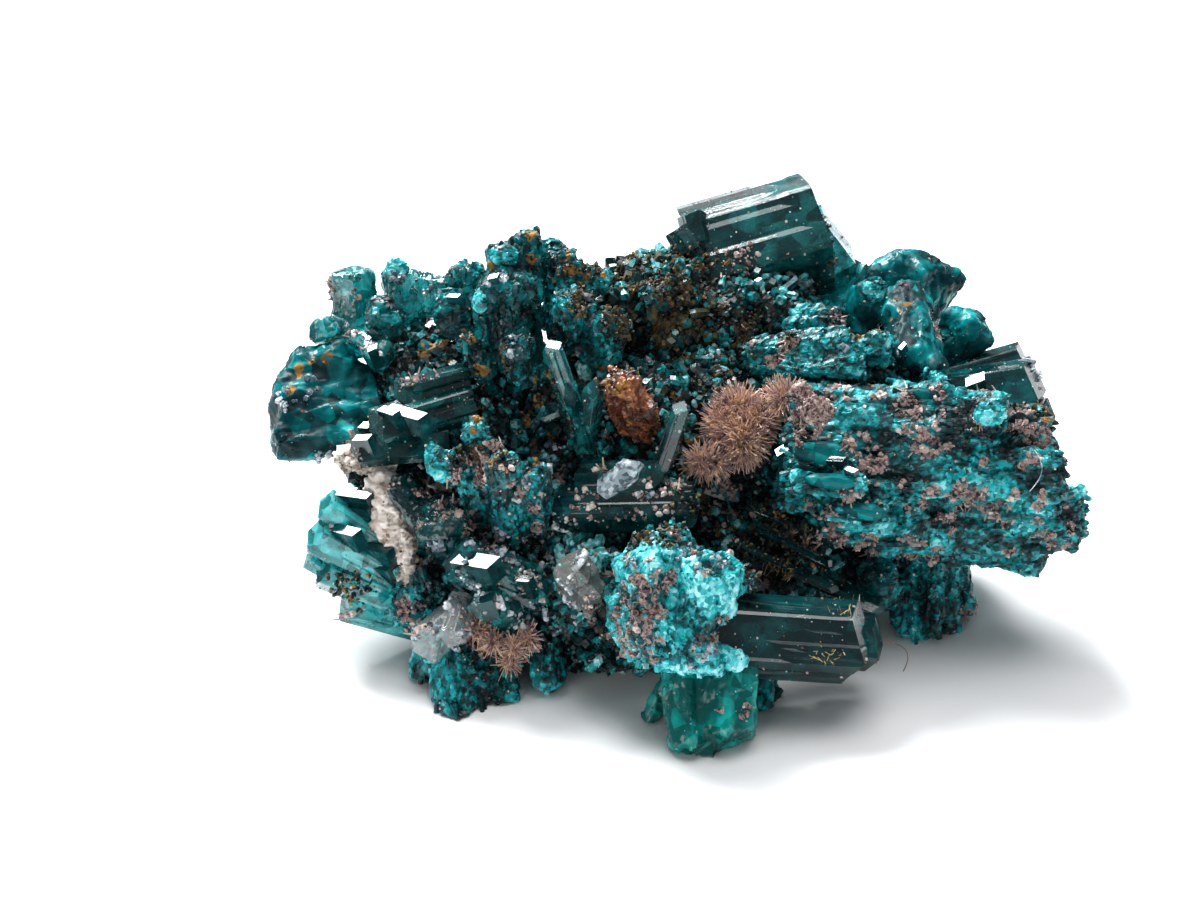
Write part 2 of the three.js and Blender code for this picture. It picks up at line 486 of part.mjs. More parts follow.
// Each piece keeps its whole shape from the ones below it in this list, but all give way
// to the rock that they grow on
const pieces = [
  { name: 'top_prism', forms: topPrism, colour: DEEP_TEAL, roughness: 0.12 },
  { name: 'top_termination', forms: topTermination, colour: DEEP_TEAL, roughness: 0.12 },
  { name: 'foot_prism', forms: footPrism, colour: BRIGHT_GREEN, roughness: 0.15 },
  { name: 'right_foot_prism', forms: rightFootPrism, colour: DEEP_TEAL, roughness: 0.12 },
  { name: 'turquoise_cluster', forms: turquoiseCluster, colour: TURQUOISE, roughness: 0.45 },
  { name: 'foot_side_crystal', forms: footSideCrystal, colour: DARK_GREEN, roughness: 0.2 },
  { name: 'right_bundle', forms: rightBundle, colour: TURQUOISE, roughness: 0.4 },
  { name: 'dome_cluster', forms: domeCluster, colour: TURQUOISE, roughness: 0.35 },
  { name: 'right_knob', forms: rightKnob, colour: DARK_GREEN, roughness: 0.2 },
  { name: 'right_dark_crystal', forms: rightDarkCrystal, colour: DARK_GREEN, roughness: 0.15 },
  { name: 'upper_right_cluster', forms: upperRightCluster, colour: TURQUOISE, roughness: 0.35 },
  { name: 'lower_right_block', forms: lowerRightBlock, colour: DEEP_TEAL, roughness: 0.3 },
  { name: 'bottom_left_cluster', forms: bottomLeftCluster, colour: DEEP_TEAL, roughness: 0.3 },
  { name: 'left_bundle', forms: leftBundle, colour: BRIGHT_GREEN, roughness: 0.15 },
  { name: 'left_crystal', forms: leftCrystal, colour: DEEP_TEAL, roughness: 0.25 },
  { name: 'glint_crystal', forms: glintCrystal, colour: DARK_GREEN, roughness: 0.08 },
  { name: 'upper_left_cluster', forms: upperLeftCluster, colour: BRIGHT_GREEN, roughness: 0.2 },
  { name: 'upper_left_knobs', forms: upperLeftKnobs, colour: TURQUOISE, roughness: 0.35 },
  { name: 'upper_middle_cluster', forms: upperMiddleCluster, colour: DARK_GREEN, roughness: 0.15 },
  { name: 'upper_middle_shoulder', forms: upperMiddleShoulder, colour: DARK_GREEN, roughness: 0.3 },
  { name: 'pink_lump', forms: pinkLump, colour: PINK_CRUST, roughness: 0.8 },
  { name: 'rust_crystal', forms: rustCrystal, colour: RUST, roughness: 0.4 },
  { name: 'centre_columns', forms: centreColumns, colour: TURQUOISE, roughness: 0.4 },
  { name: 'white_pyramid', forms: whitePyramid, colour: CLEAR, roughness: 0.3 },
  { name: 'centre_fan', forms: centreFan, colour: BRIGHT_GREEN, roughness: 0.2 },
  { name: 'facet_prism', forms: facetPrism, colour: PALE_BLUE, roughness: 0.1 },
  { name: 'clear_crystal', forms: clearCrystal, colour: CLEAR, roughness: 0.05 },
  { name: 'grey_crystal', forms: greyCrystal, colour: GREY, roughness: 0.3 },
  { name: 'pink_stars', forms: pinkStars, colour: PINK_CRUST, roughness: 0.8 },
  { name: 'pink_spray', forms: pinkSpray, colour: PINK_CRUST, roughness: 0.8 },
  { name: 'centre_block', forms: centreBlock, colour: DEEP_TEAL, roughness: 0.2 },
  { name: 'dark_prism', forms: darkPrism, colour: DARK_GREEN, roughness: 0.12 },
  { name: 'lower_druse', forms: lowerDruse, colour: DEEP_TEAL, roughness: 0.3 },
  { name: 'cavity_blades', forms: cavityBlades, colour: DARK_GREEN, roughness: 0.3 },
  { name: 'back_left_cluster', forms: backLeftCluster, colour: BRIGHT_GREEN, roughness: 0.2 },
  { name: 'back_left_upper', forms: backLeftUpperCrystal, colour: BRIGHT_GREEN, roughness: 0.2 },
  { name: 'back_left_lower', forms: backLeftLowerCrystal, colour: BRIGHT_GREEN, roughness: 0.2 },
  { name: 'back_middle_cluster', forms: backMiddleCluster, colour: DEEP_TEAL, roughness: 0.2 },
  { name: 'back_middle_right', forms: backMiddleRightCrystal, colour: DEEP_TEAL, roughness: 0.2 },
  { name: 'back_middle_left', forms: backMiddleLeftCrystal, colour: DEEP_TEAL, roughness: 0.2 },
  { name: 'back_right_cluster', forms: backRightCluster, colour: TURQUOISE, roughness: 0.3 },
  { name: 'back_right_lower', forms: backRightLowerCrystal, colour: TURQUOISE, roughness: 0.3 },
];

// Everything below the floor is cut away, which leaves flat resting faces
function belowFloor() {
  const geometry = new THREE.BoxGeometry(WORKING_BLOCK, WORKING_BLOCK, WORKING_BLOCK);
  geometry.translate(0, 0, -WORKING_BLOCK / 2 - FLOOR_DROP);
  geometry.applyMatrix4(toView);
  return solidFrom(geometry);
}

// The largest connected body of a solid: chips that a cut leaves loose are dropped
function largestBody(solid) {
  const bodies = solid.decompose();
  return bodies.reduce((best, body) => (body.volume() > best.volume() ? body : best));
}

function joined(forms, growth) {
  return forms.map((form) => form(growth)).reduce((whole, part) => whole.add(part));
}

function apart(first, second) {
  const a = first.boundingBox();
  const b = second.boundingBox();
  return [0, 1, 2].some((i) => a.max[i] < b.min[i] || b.max[i] < a.min[i]);
}

function cutBy(solid, sockets) {
  return sockets.filter((socket) => !apart(solid, socket))
    .reduce((whole, socket) => whole.subtract(socket), solid);
}

const specimen = new THREE.Group();
specimen.rotation.x = uprightTurn;

function addPiece(name, solid, colour, roughness) {
  const material = new THREE.MeshStandardMaterial({ color: colour, roughness, metalness: 0 });
  const mesh = new THREE.Mesh(geometryFrom(largestBody(solid)), material);
  mesh.name = name;
  specimen.add(mesh);
}

const floorCut = belowFloor();
const sockets = [joined(rock, CLEARANCE)];
for (const { name, forms, colour, roughness } of pieces) {
  const solid = cutBy(joined(forms, 0).subtract(floorCut), sockets);
  addPiece(name, solid, colour, roughness);
  sockets.push(joined(forms, CLEARANCE));
}

const crystalSockets = sockets.slice(1);
const crust = cutBy(joined(rockDruse, 0), crystalSockets);
addPiece('matrix', joined(rock, 0).add(crust).subtract(floorCut), ROCK, 0.85);

// The origin is the middle of the specimen's box, on the floor
const dioptase = new THREE.Group();
dioptase.add(specimen);
dioptase.updateMatrixWorld(true);
const box = new THREE.Box3().setFromObject(dioptase, true);
const middle = box.getCenter(new THREE.Vector3());
dioptase.position.set(-middle.x, -middle.y, -box.min.z);

export default dioptase;
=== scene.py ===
# %% [markdown]
# # A dioptase specimen
# Dioptase is a copper silicate that grows as short six-sided prisms, each ended by three
# rhomb faces. This specimen is a loose cluster, 50 mm wide: clear dark prisms, rough
# turquoise bundles, and pink, ochre and cream crusts on a little rock.
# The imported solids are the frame. Each gets a detailed piece here, in the same place.

import math
import random

import bmesh
import bpy
import numpy as np
from mathutils import Matrix, Vector
from mathutils.bvhtree import BVHTree


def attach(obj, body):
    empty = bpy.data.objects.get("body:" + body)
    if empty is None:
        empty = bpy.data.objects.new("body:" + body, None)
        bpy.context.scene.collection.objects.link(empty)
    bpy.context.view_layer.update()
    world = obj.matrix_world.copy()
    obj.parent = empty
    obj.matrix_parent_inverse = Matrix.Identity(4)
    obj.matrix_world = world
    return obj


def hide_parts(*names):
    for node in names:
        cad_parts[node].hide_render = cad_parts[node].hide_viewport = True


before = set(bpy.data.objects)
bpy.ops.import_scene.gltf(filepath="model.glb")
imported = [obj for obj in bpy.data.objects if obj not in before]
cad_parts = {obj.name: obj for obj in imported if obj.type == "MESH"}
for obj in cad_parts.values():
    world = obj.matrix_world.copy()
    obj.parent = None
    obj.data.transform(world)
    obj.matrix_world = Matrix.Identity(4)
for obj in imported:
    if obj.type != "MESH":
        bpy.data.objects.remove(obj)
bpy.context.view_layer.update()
scene = bpy.context.scene
MM = 0.001
PER_MM = 1000.0


def in_mm(box):
    """The corners of a box in mm, rounded for a printed line."""
    return [[round(v / MM, 1) for v in corner] for corner in box]


# %% [markdown]
# ## One frame for the eye and one for the shelf
# Places were measured in the plane of the front view: x to the right, y up and z towards
# the viewer. The specimen stands upright, so each such place is turned by the angle at which
# the viewer looks down, and moved to the middle of the specimen's box.

# %% Turn front-view places into standing places
VIEW_ELEVATION = math.radians(28)
STANDING_SHIFT = Vector((0.0006, -1.378, 11.1))


def seen(x, y, z):
    """A place in the plane of the front view, in mm, as metres in the standing frame."""
    down, level = math.sin(VIEW_ELEVATION), math.cos(VIEW_ELEVATION)
    return (Vector((x, y * down - z * level, y * level + z * down)) + STANDING_SHIFT) * MM


def standing(x, y, z):
    """A place in the standing frame before the shift, in mm, as metres."""
    return Vector((x + STANDING_SHIFT.x, y + STANDING_SHIFT.y, z)) * MM


print("origin of the front view stands at", in_mm([seen(0, 0, 0)]))

# %% [markdown]
# ## Camera
# A close photograph taken with a slightly long lens. The camera stands 141 mm away and looks
# down by 28 degrees at a point a little left of the specimen's middle, so that the specimen
# sits right of centre in the picture.

# %% Place the camera
def placed(name, data):
    """A new object with its data, in the scene."""
    new = bpy.data.objects.new(name, data)
    scene.collection.objects.link(new)
    return new


CAMERA_DISTANCE = 141 * MM
SENSOR_WIDTH = 36
PICTURE_WIDTH = 72.6 * MM
PICTURE_CENTRE = seen(-4.36, 0.3, 0)

towards_camera = Vector((0, -math.cos(VIEW_ELEVATION), math.sin(VIEW_ELEVATION)))
lens = bpy.data.cameras.new("camera")
lens.sensor_width = SENSOR_WIDTH
lens.lens = SENSOR_WIDTH * CAMERA_DISTANCE / PICTURE_WIDTH
lens.clip_start = 1 * MM
camera = placed("camera", lens)
camera.location = PICTURE_CENTRE + towards_camera * CAMERA_DISTANCE
camera.rotation_euler = (math.pi / 2 - VIEW_ELEVATION, 0, 0)
scene.camera = camera
print("lens in mm:", round(lens.lens, 1))

# %% [markdown]
# ## Light
# The photograph has one broad light above and behind, a little to the left: it makes the
# white glints on faces that look up and back, and a soft shadow in front on the right. The
# side of the camera is dim, which keeps the crystal faces deep. Area lights stand in for
# the window and the room.

# %% Set the lights
WINDOW_PLACE = (-0.17, 0.30, 0.40)
ROOM_COLOUR, ROOM_STRENGTH = (0.86, 0.9, 0.94, 1), 0.23


def area_light(name, place, size, power, colour=(1, 1, 1)):
    """A rectangular light that looks at the origin. Places and sizes are in metres."""
    light = bpy.data.lights.new(name, "AREA")
    light.shape = "RECTANGLE"
    light.size, light.size_y = size
    light.energy = power
    light.color = colour
    stand = placed(name, light)
    stand.location = place
    stand.rotation_euler = (-Vector(place)).to_track_quat("-Z", "Y").to_euler()


area_light("window", WINDOW_PLACE, (0.26, 0.20), 8.2, (0.97, 0.99, 1.0))
area_light("ceiling", (0.05, 0.10, 0.60), (0.5, 0.4), 2.9)
area_light("room", (-0.35, -0.50, 0.13), (0.3, 0.16), 0.9, (1.0, 0.98, 0.95))

world = bpy.data.worlds.new("room")
world.use_nodes = True
background = world.node_tree.nodes["Background"]
background.inputs["Color"].default_value = ROOM_COLOUR
background.inputs["Strength"].default_value = ROOM_STRENGTH
scene.world = world
scene.view_settings.view_transform = "Standard"
print("lights:", len(bpy.data.lights))

# %% [markdown]
# ## Floor
# A pale surface with a faint tooth, like painted board. It is a stage, not a part of the
# specimen.

# %% Lay the floor
FLOOR_HALF = 3.0
floor_mesh = bpy.data.meshes.new("floor")
floor_mesh.from_pydata([(-FLOOR_HALF, -FLOOR_HALF, 0), (FLOOR_HALF, -FLOOR_HALF, 0),
                        (FLOOR_HALF, FLOOR_HALF, 0), (-FLOOR_HALF, FLOOR_HALF, 0)],
                       [], [(0, 1, 2, 3)])
floor = placed("floor", floor_mesh)
board = bpy.data.materials.new("painted_board")
board.use_nodes = True
board_nodes, board_links = board.node_tree.nodes, board.node_tree.links
board_shader = board_nodes["Principled BSDF"]
board_shader.inputs["Base Color"].default_value = (0.87, 0.87, 0.88, 1)
board_shader.inputs["Roughness"].default_value = 0.55
board_place = board_nodes.new("ShaderNodeTexCoord")
board_tooth = board_nodes.new("ShaderNodeTexNoise")
board_tooth.inputs["Scale"].default_value = 900
board_tooth.inputs["Detail"].default_value = 3
board_bump = board_nodes.new("ShaderNodeBump")
board_bump.inputs["Strength"].default_value = 0.12
board_bump.inputs["Distance"].default_value = 0.1 * MM
board_links.new(board_place.outputs["Object"], board_tooth.inputs["Vector"])
board_links.new(board_tooth.outputs["Fac"], board_bump.inputs["Height"])
board_links.new(board_bump.outputs["Normal"], board_shader.inputs["Normal"])
floor.data.materials.append(board)
print("floor:", board.name)

# %% [markdown]
# ## Small tools for node trees
# Every tree below is written in the same way: put a node, set its values, link it.

# %% Helpers for trees
def feed(tree, socket, value):
    """Links a socket to another, or sets its value."""
    if isinstance(value, bpy.types.NodeSocket):
        tree.links.new(value, socket)
    else:
        socket.default_value = value


def put(tree, kind, properties=None, **values):
    """Adds a node. Properties are set on it, values on its inputs: a socket is linked."""
    node = tree.nodes.new(kind)
    for key, value in (properties or {}).items():
        setattr(node, key, value)
    for key, value in values.items():
        wanted = key.replace("_", " ").lower()
        feed(tree, next(s for s in node.inputs if s.enabled and s.name.lower() == wanted), value)
    return node


def out(node, name=None):
    """A node's first output, or its output of that name."""
    sockets = [s for s in node.outputs if s.enabled and name in (None, s.name)]
    return sockets[0]


def calc(tree, operation, *values):
    """A Math node on numbers or sockets; its result socket."""
    node = tree.nodes.new("ShaderNodeMath")
    node.operation = operation
    for socket, value in zip(node.inputs, values):
        feed(tree, socket, value)
    return node.outputs[0]


def vector_calc(tree, operation, *values, scale=None):
    """A Vector Math node on vectors or sockets; its result socket."""
    node = tree.nodes.new("ShaderNodeVectorMath")
    node.operation = operation
    for socket, value in zip(node.inputs, values):
        feed(tree, socket, value)
    if scale is not None:
        feed(tree, node.inputs["Scale"], scale)
    return node.outputs[1 if operation in ("DOT_PRODUCT", "DISTANCE", "LENGTH") else 0]


def new_tree(name, kind, inputs, outputs):
    """A node group with named sockets, and its input and output nodes."""
    tree = bpy.data.node_groups.new(name, kind)
    for socket_name, socket_kind, default in inputs:
        socket = tree.interface.new_socket(socket_name, in_out="INPUT", socket_type=socket_kind)
        if default is not None:
            socket.default_value = default
    for socket_name, socket_kind in outputs:
        tree.interface.new_socket(socket_name, in_out="OUTPUT", socket_type=socket_kind)
    return tree, tree.nodes.new("NodeGroupInput"), tree.nodes.new("NodeGroupOutput")


# %% [markdown]
# ## Three effects that the minerals share
# Striations: fine grooves along the prism, cut by a few cross cracks.
# Mottle: soft patches of another tone, as where a crystal is veiled or stained.
# Broken facets: small flat planes tilted each its own way. They catch the light one by
# one, which is what makes a rough crystal glitter.

# %% The striation group
striations, s_in, s_out = new_tree(
    "striations", "ShaderNodeTree",
    [("Place", "NodeSocketVector", None), ("Fineness", "NodeSocketFloat", 4.0)],
    [("Height", "NodeSocketFloat"), ("Streaks", "NodeSocketFloat")])
drawn_out = vector_calc(striations, "MULTIPLY", s_in.outputs["Place"], (1, 1, 0.07))
grooves = put(striations, "ShaderNodeTexNoise", Vector=drawn_out, Detail=4, Roughness=0.65,
              Scale=s_in.outputs["Fineness"])
crossing = vector_calc(striations, "MULTIPLY", s_in.outputs["Place"], (0.5, 0.5, 1.6))
cracks = put(striations, "ShaderNodeTexNoise", Vector=crossing, Scale=1.3, Detail=3)
height = calc(striations, "MULTIPLY_ADD", out(cracks, "Fac"), 0.35, out(grooves, "Fac"))
striations.links.new(height, s_out.inputs["Height"])
striations.links.new(out(grooves, "Fac"), s_out.inputs["Streaks"])

# %% The mottle group
mottle, m_in, m_out = new_tree(
    "mottle", "ShaderNodeTree",
    [("Place", "NodeSocketVector", None), ("Size", "NodeSocketFloat", 1.0),
     ("Amount", "NodeSocketFloat", 0.5)],
    [("Mask", "NodeSocketFloat"), ("Grain", "NodeSocketFloat")])
in_sizes = calc(mottle, "DIVIDE", PER_MM, m_in.outputs["Size"])
scaled = vector_calc(mottle, "SCALE", m_in.outputs["Place"], scale=in_sizes)
blotches = put(mottle, "ShaderNodeTexNoise", Vector=scaled, Scale=1.0, Detail=5, Roughness=0.6)
low = calc(mottle, "SUBTRACT", 0.75, calc(mottle, "MULTIPLY", m_in.outputs["Amount"], 0.5))
rise = put(mottle, "ShaderNodeMapRange", {"interpolation_type": "SMOOTHSTEP"},
           Value=out(blotches, "Fac"), From_Min=low, From_Max=0.8)
mottle.links.new(out(rise), m_out.inputs["Mask"])
mottle.links.new(out(blotches, "Fac"), m_out.inputs["Grain"])

# %% The broken-facet group
def tilted_cells(tree, place):
    """Cells of flat planes, each tilted its own way: their height, and a number for each."""
    cells = put(tree, "ShaderNodeTexVoronoi", Vector=place, Scale=1.0)
    own_place = vector_calc(tree, "SUBTRACT", place, out(cells, "Position"))
    own_tilt = vector_calc(tree, "SUBTRACT", out(cells, "Color"), (0.5, 0.5, 0.5))
    parts = put(tree, "ShaderNodeSeparateXYZ", Vector=out(cells, "Color"))
    return vector_calc(tree, "DOT_PRODUCT", own_place, own_tilt), out(parts, "Y")


broken_facets, b_in, b_out = new_tree(
    "broken_facets", "ShaderNodeTree",
    [("Place", "NodeSocketVector", None), ("Facet Size", "NodeSocketFloat", 0.3)],
    [("Height", "NodeSocketFloat"), ("Chance", "NodeSocketFloat")])
in_facets = calc(broken_facets, "DIVIDE", PER_MM, b_in.outputs["Facet Size"])
facet_place = vector_calc(broken_facets, "SCALE", b_in.outputs["Place"], scale=in_facets)
facet_height, facet_chance = tilted_cells(broken_facets, facet_place)
broken_facets.links.new(facet_height, b_out.inputs["Height"])
broken_facets.links.new(facet_chance, b_out.inputs["Chance"])
print("shared effects:", striations.name, mottle.name, broken_facets.name)

# %% [markdown]
# ## Stains
# Other minerals grew over the dioptase in patches: pink crust, ochre and olive iron stain,
# and cream rock. Each patch is written on the skins as an attribute between 0 and 1. This
# group lays the patch colours over a mineral's own colour, with grain in each.

# %% The stain group
STAIN_COLOURS = {
    "pink": ((0.03, 0.019, 0.017), (0.50, 0.36, 0.325)),
    "ochre": ((0.015, 0.01, 0.005), (0.40, 0.19, 0.035)),
    "cream": ((0.22, 0.14, 0.09), (0.74, 0.66, 0.56)),
    "olive": ((0.002, 0.006, 0.005), (0.10, 0.07, 0.02)),
}
stains, t_in, t_out = new_tree(
    "stains", "ShaderNodeTree",
    [("Color", "NodeSocketColor", None), ("Grain", "NodeSocketFloat", 0.5)],
    [("Color", "NodeSocketColor"), ("Cover", "NodeSocketFloat")])
stained = t_in.outputs["Color"]
covered = 0.0
for stain, (low_colour, high_colour) in STAIN_COLOURS.items():
    mask = out(put(stains, "ShaderNodeAttribute", {"attribute_name": stain}), "Fac")
    speckle = calc(stains, "MULTIPLY_ADD", t_in.outputs["Grain"], 1.7, -0.85)
    edge = calc(stains, "MULTIPLY_ADD", mask, 0.75, speckle)
    edge = out(put(stains, "ShaderNodeMapRange", {"interpolation_type": "SMOOTHSTEP"},
                   Value=edge, From_Min=0.45, From_Max=0.6))
    shades = put(stains, "ShaderNodeMapRange", Value=t_in.outputs["Grain"], From_Min=0.25,
                 From_Max=0.75)
    tint = put(stains, "ShaderNodeMix", {"data_type": "RGBA"}, Factor=out(shades),
               A=(*low_colour, 1), B=(*high_colour, 1))
    over = put(stains, "ShaderNodeMix", {"data_type": "RGBA"}, Factor=edge, A=stained,
               B=out(tint))
    stained = out(over)
    covered = calc(stains, "MAXIMUM", covered, edge)
stains.links.new(stained, t_out.inputs["Color"])
stains.links.new(covered, t_out.inputs["Cover"])
print("stains:", list(STAIN_COLOURS))

# %% [markdown]
# ## Materials
# Each crystal carries two attributes: crystal_place, its own place measured along and across
# its axis, and tone, a number that differs from crystal to crystal. The colour runs over
# both, so no two neighbours look the same. Clear crystals let light through and soak up
# red; rough ones are full of cracks that throw the light back, and look turquoise.

# %% One way to make a mineral
RELIEF = 0.12 * MM


def mineral(name, ramp, roughness=(0.15, 0.4), groove=0.3, fineness=4.0, facet=0.25,
            facet_depth=0.3, patch=1.5, clear=None, shine=0.5, tone_share=0.35,
            painted_shade_share=0.5):
    """A material. ramp: stops of (place, colour), dark to light. groove and facet_depth:
    how deep the striations and broken facets are; facet and patch: their sizes in mm.
    tone_share: how much a crystal's tone shifts the ramp. The shade share: how far painted
    shade darkens the ramp where the skin lies deep in a hollow.
    clear: index of refraction, colour let through, density, share of light let through."""
    material = bpy.data.materials.new(name)
    material.use_nodes = True
    tree = material.node_tree
    shader = tree.nodes["Principled BSDF"]
    own = put(tree, "ShaderNodeAttribute", {"attribute_name": "crystal_place"})
    tone = put(tree, "ShaderNodeAttribute", {"attribute_name": "tone"})
    place = out(put(tree, "ShaderNodeTexCoord"), "Object")
    lines = put(tree, "ShaderNodeGroup", {"node_tree": striations},
                Place=out(own, "Vector"), Fineness=fineness)
    spots = put(tree, "ShaderNodeGroup", {"node_tree": mottle}, Place=place, Size=patch)
    chips = put(tree, "ShaderNodeGroup", {"node_tree": broken_facets}, Place=place,
                Facet_Size=facet)
    shade = calc(tree, "MULTIPLY_ADD", out(tone, "Fac"), tone_share, 0.5 - tone_share / 2)
    # Painted shade: the colour is darker where the skin lies deep in a hollow.
    hollow = put(tree, "ShaderNodeAttribute", {"attribute_name": "hollow"})
    shade = calc(tree, "MULTIPLY_ADD", out(hollow, "Fac"), -painted_shade_share, shade)
    for part, share in ((out(spots, "Grain"), 1.1), (out(lines, "Streaks"), 0.25),
                        (out(chips, "Chance"), 0.5)):
        shade = calc(tree, "MULTIPLY_ADD", part, share, calc(tree, "SUBTRACT", shade, share / 2))
    colours = put(tree, "ShaderNodeValToRGB", Fac=shade)
    while len(colours.color_ramp.elements) < len(ramp):
        colours.color_ramp.elements.new(0.5)
    for stop, (at, colour) in zip(colours.color_ramp.elements, ramp):
        stop.position = at
        stop.color = (*colour, 1)
    gloss_by = out(spots, "Grain") if clear else out(chips, "Chance")
    gloss = put(tree, "ShaderNodeMapRange", Value=gloss_by, From_Min=0.3, From_Max=0.7,
                To_Min=roughness[1], To_Max=roughness[0])
    relief = calc(tree, "MULTIPLY", out(chips, "Height"), facet_depth)
    relief = calc(tree, "MULTIPLY_ADD", out(lines, "Height"), groove, relief)
    bump = put(tree, "ShaderNodeBump", Strength=1.0, Distance=RELIEF, Height=relief)
    tree.links.new(out(bump), shader.inputs["Normal"])
    shader.inputs["Specular IOR Level"].default_value = shine
    if clear:
        index, colour, density, see_through = clear
        shader.inputs["Transmission Weight"].default_value = see_through
        shader.inputs["IOR"].default_value = index
        soak = put(tree, "ShaderNodeVolumeAbsorption", Color=(*colour, 1), Density=density)
        tree.links.new(out(soak), tree.nodes["Material Output"].inputs["Volume"])
        tree.links.new(out(colours, "Color"), shader.inputs["Base Color"])
        tree.links.new(out(gloss), shader.inputs["Roughness"])
        return material
    crust = put(tree, "ShaderNodeGroup", {"node_tree": stains}, Color=out(colours, "Color"),
                Grain=calc(tree, "MULTIPLY_ADD", out(chips, "Chance"), 0.4,
                           calc(tree, "MULTIPLY", out(spots, "Grain"), 0.6)))
    tree.links.new(out(crust, "Color"), shader.inputs["Base Color"])
    dulled = calc(tree, "MULTIPLY_ADD", out(crust, "Cover"), 0.3, out(gloss))
    tree.links.new(dulled, shader.inputs["Roughness"])
    return material


# %% The minerals of this specimen
NEARLY_BLACK = (0.0006, 0.012, 0.014)
DEEP = (0.001, 0.045, 0.050)
TEAL = (0.001, 0.125, 0.136)
TURQUOISE = (0.002, 0.27, 0.295)
PALE_TURQUOISE = (0.02, 0.52, 0.55)
FROSTED = (0.40, 0.84, 0.86)

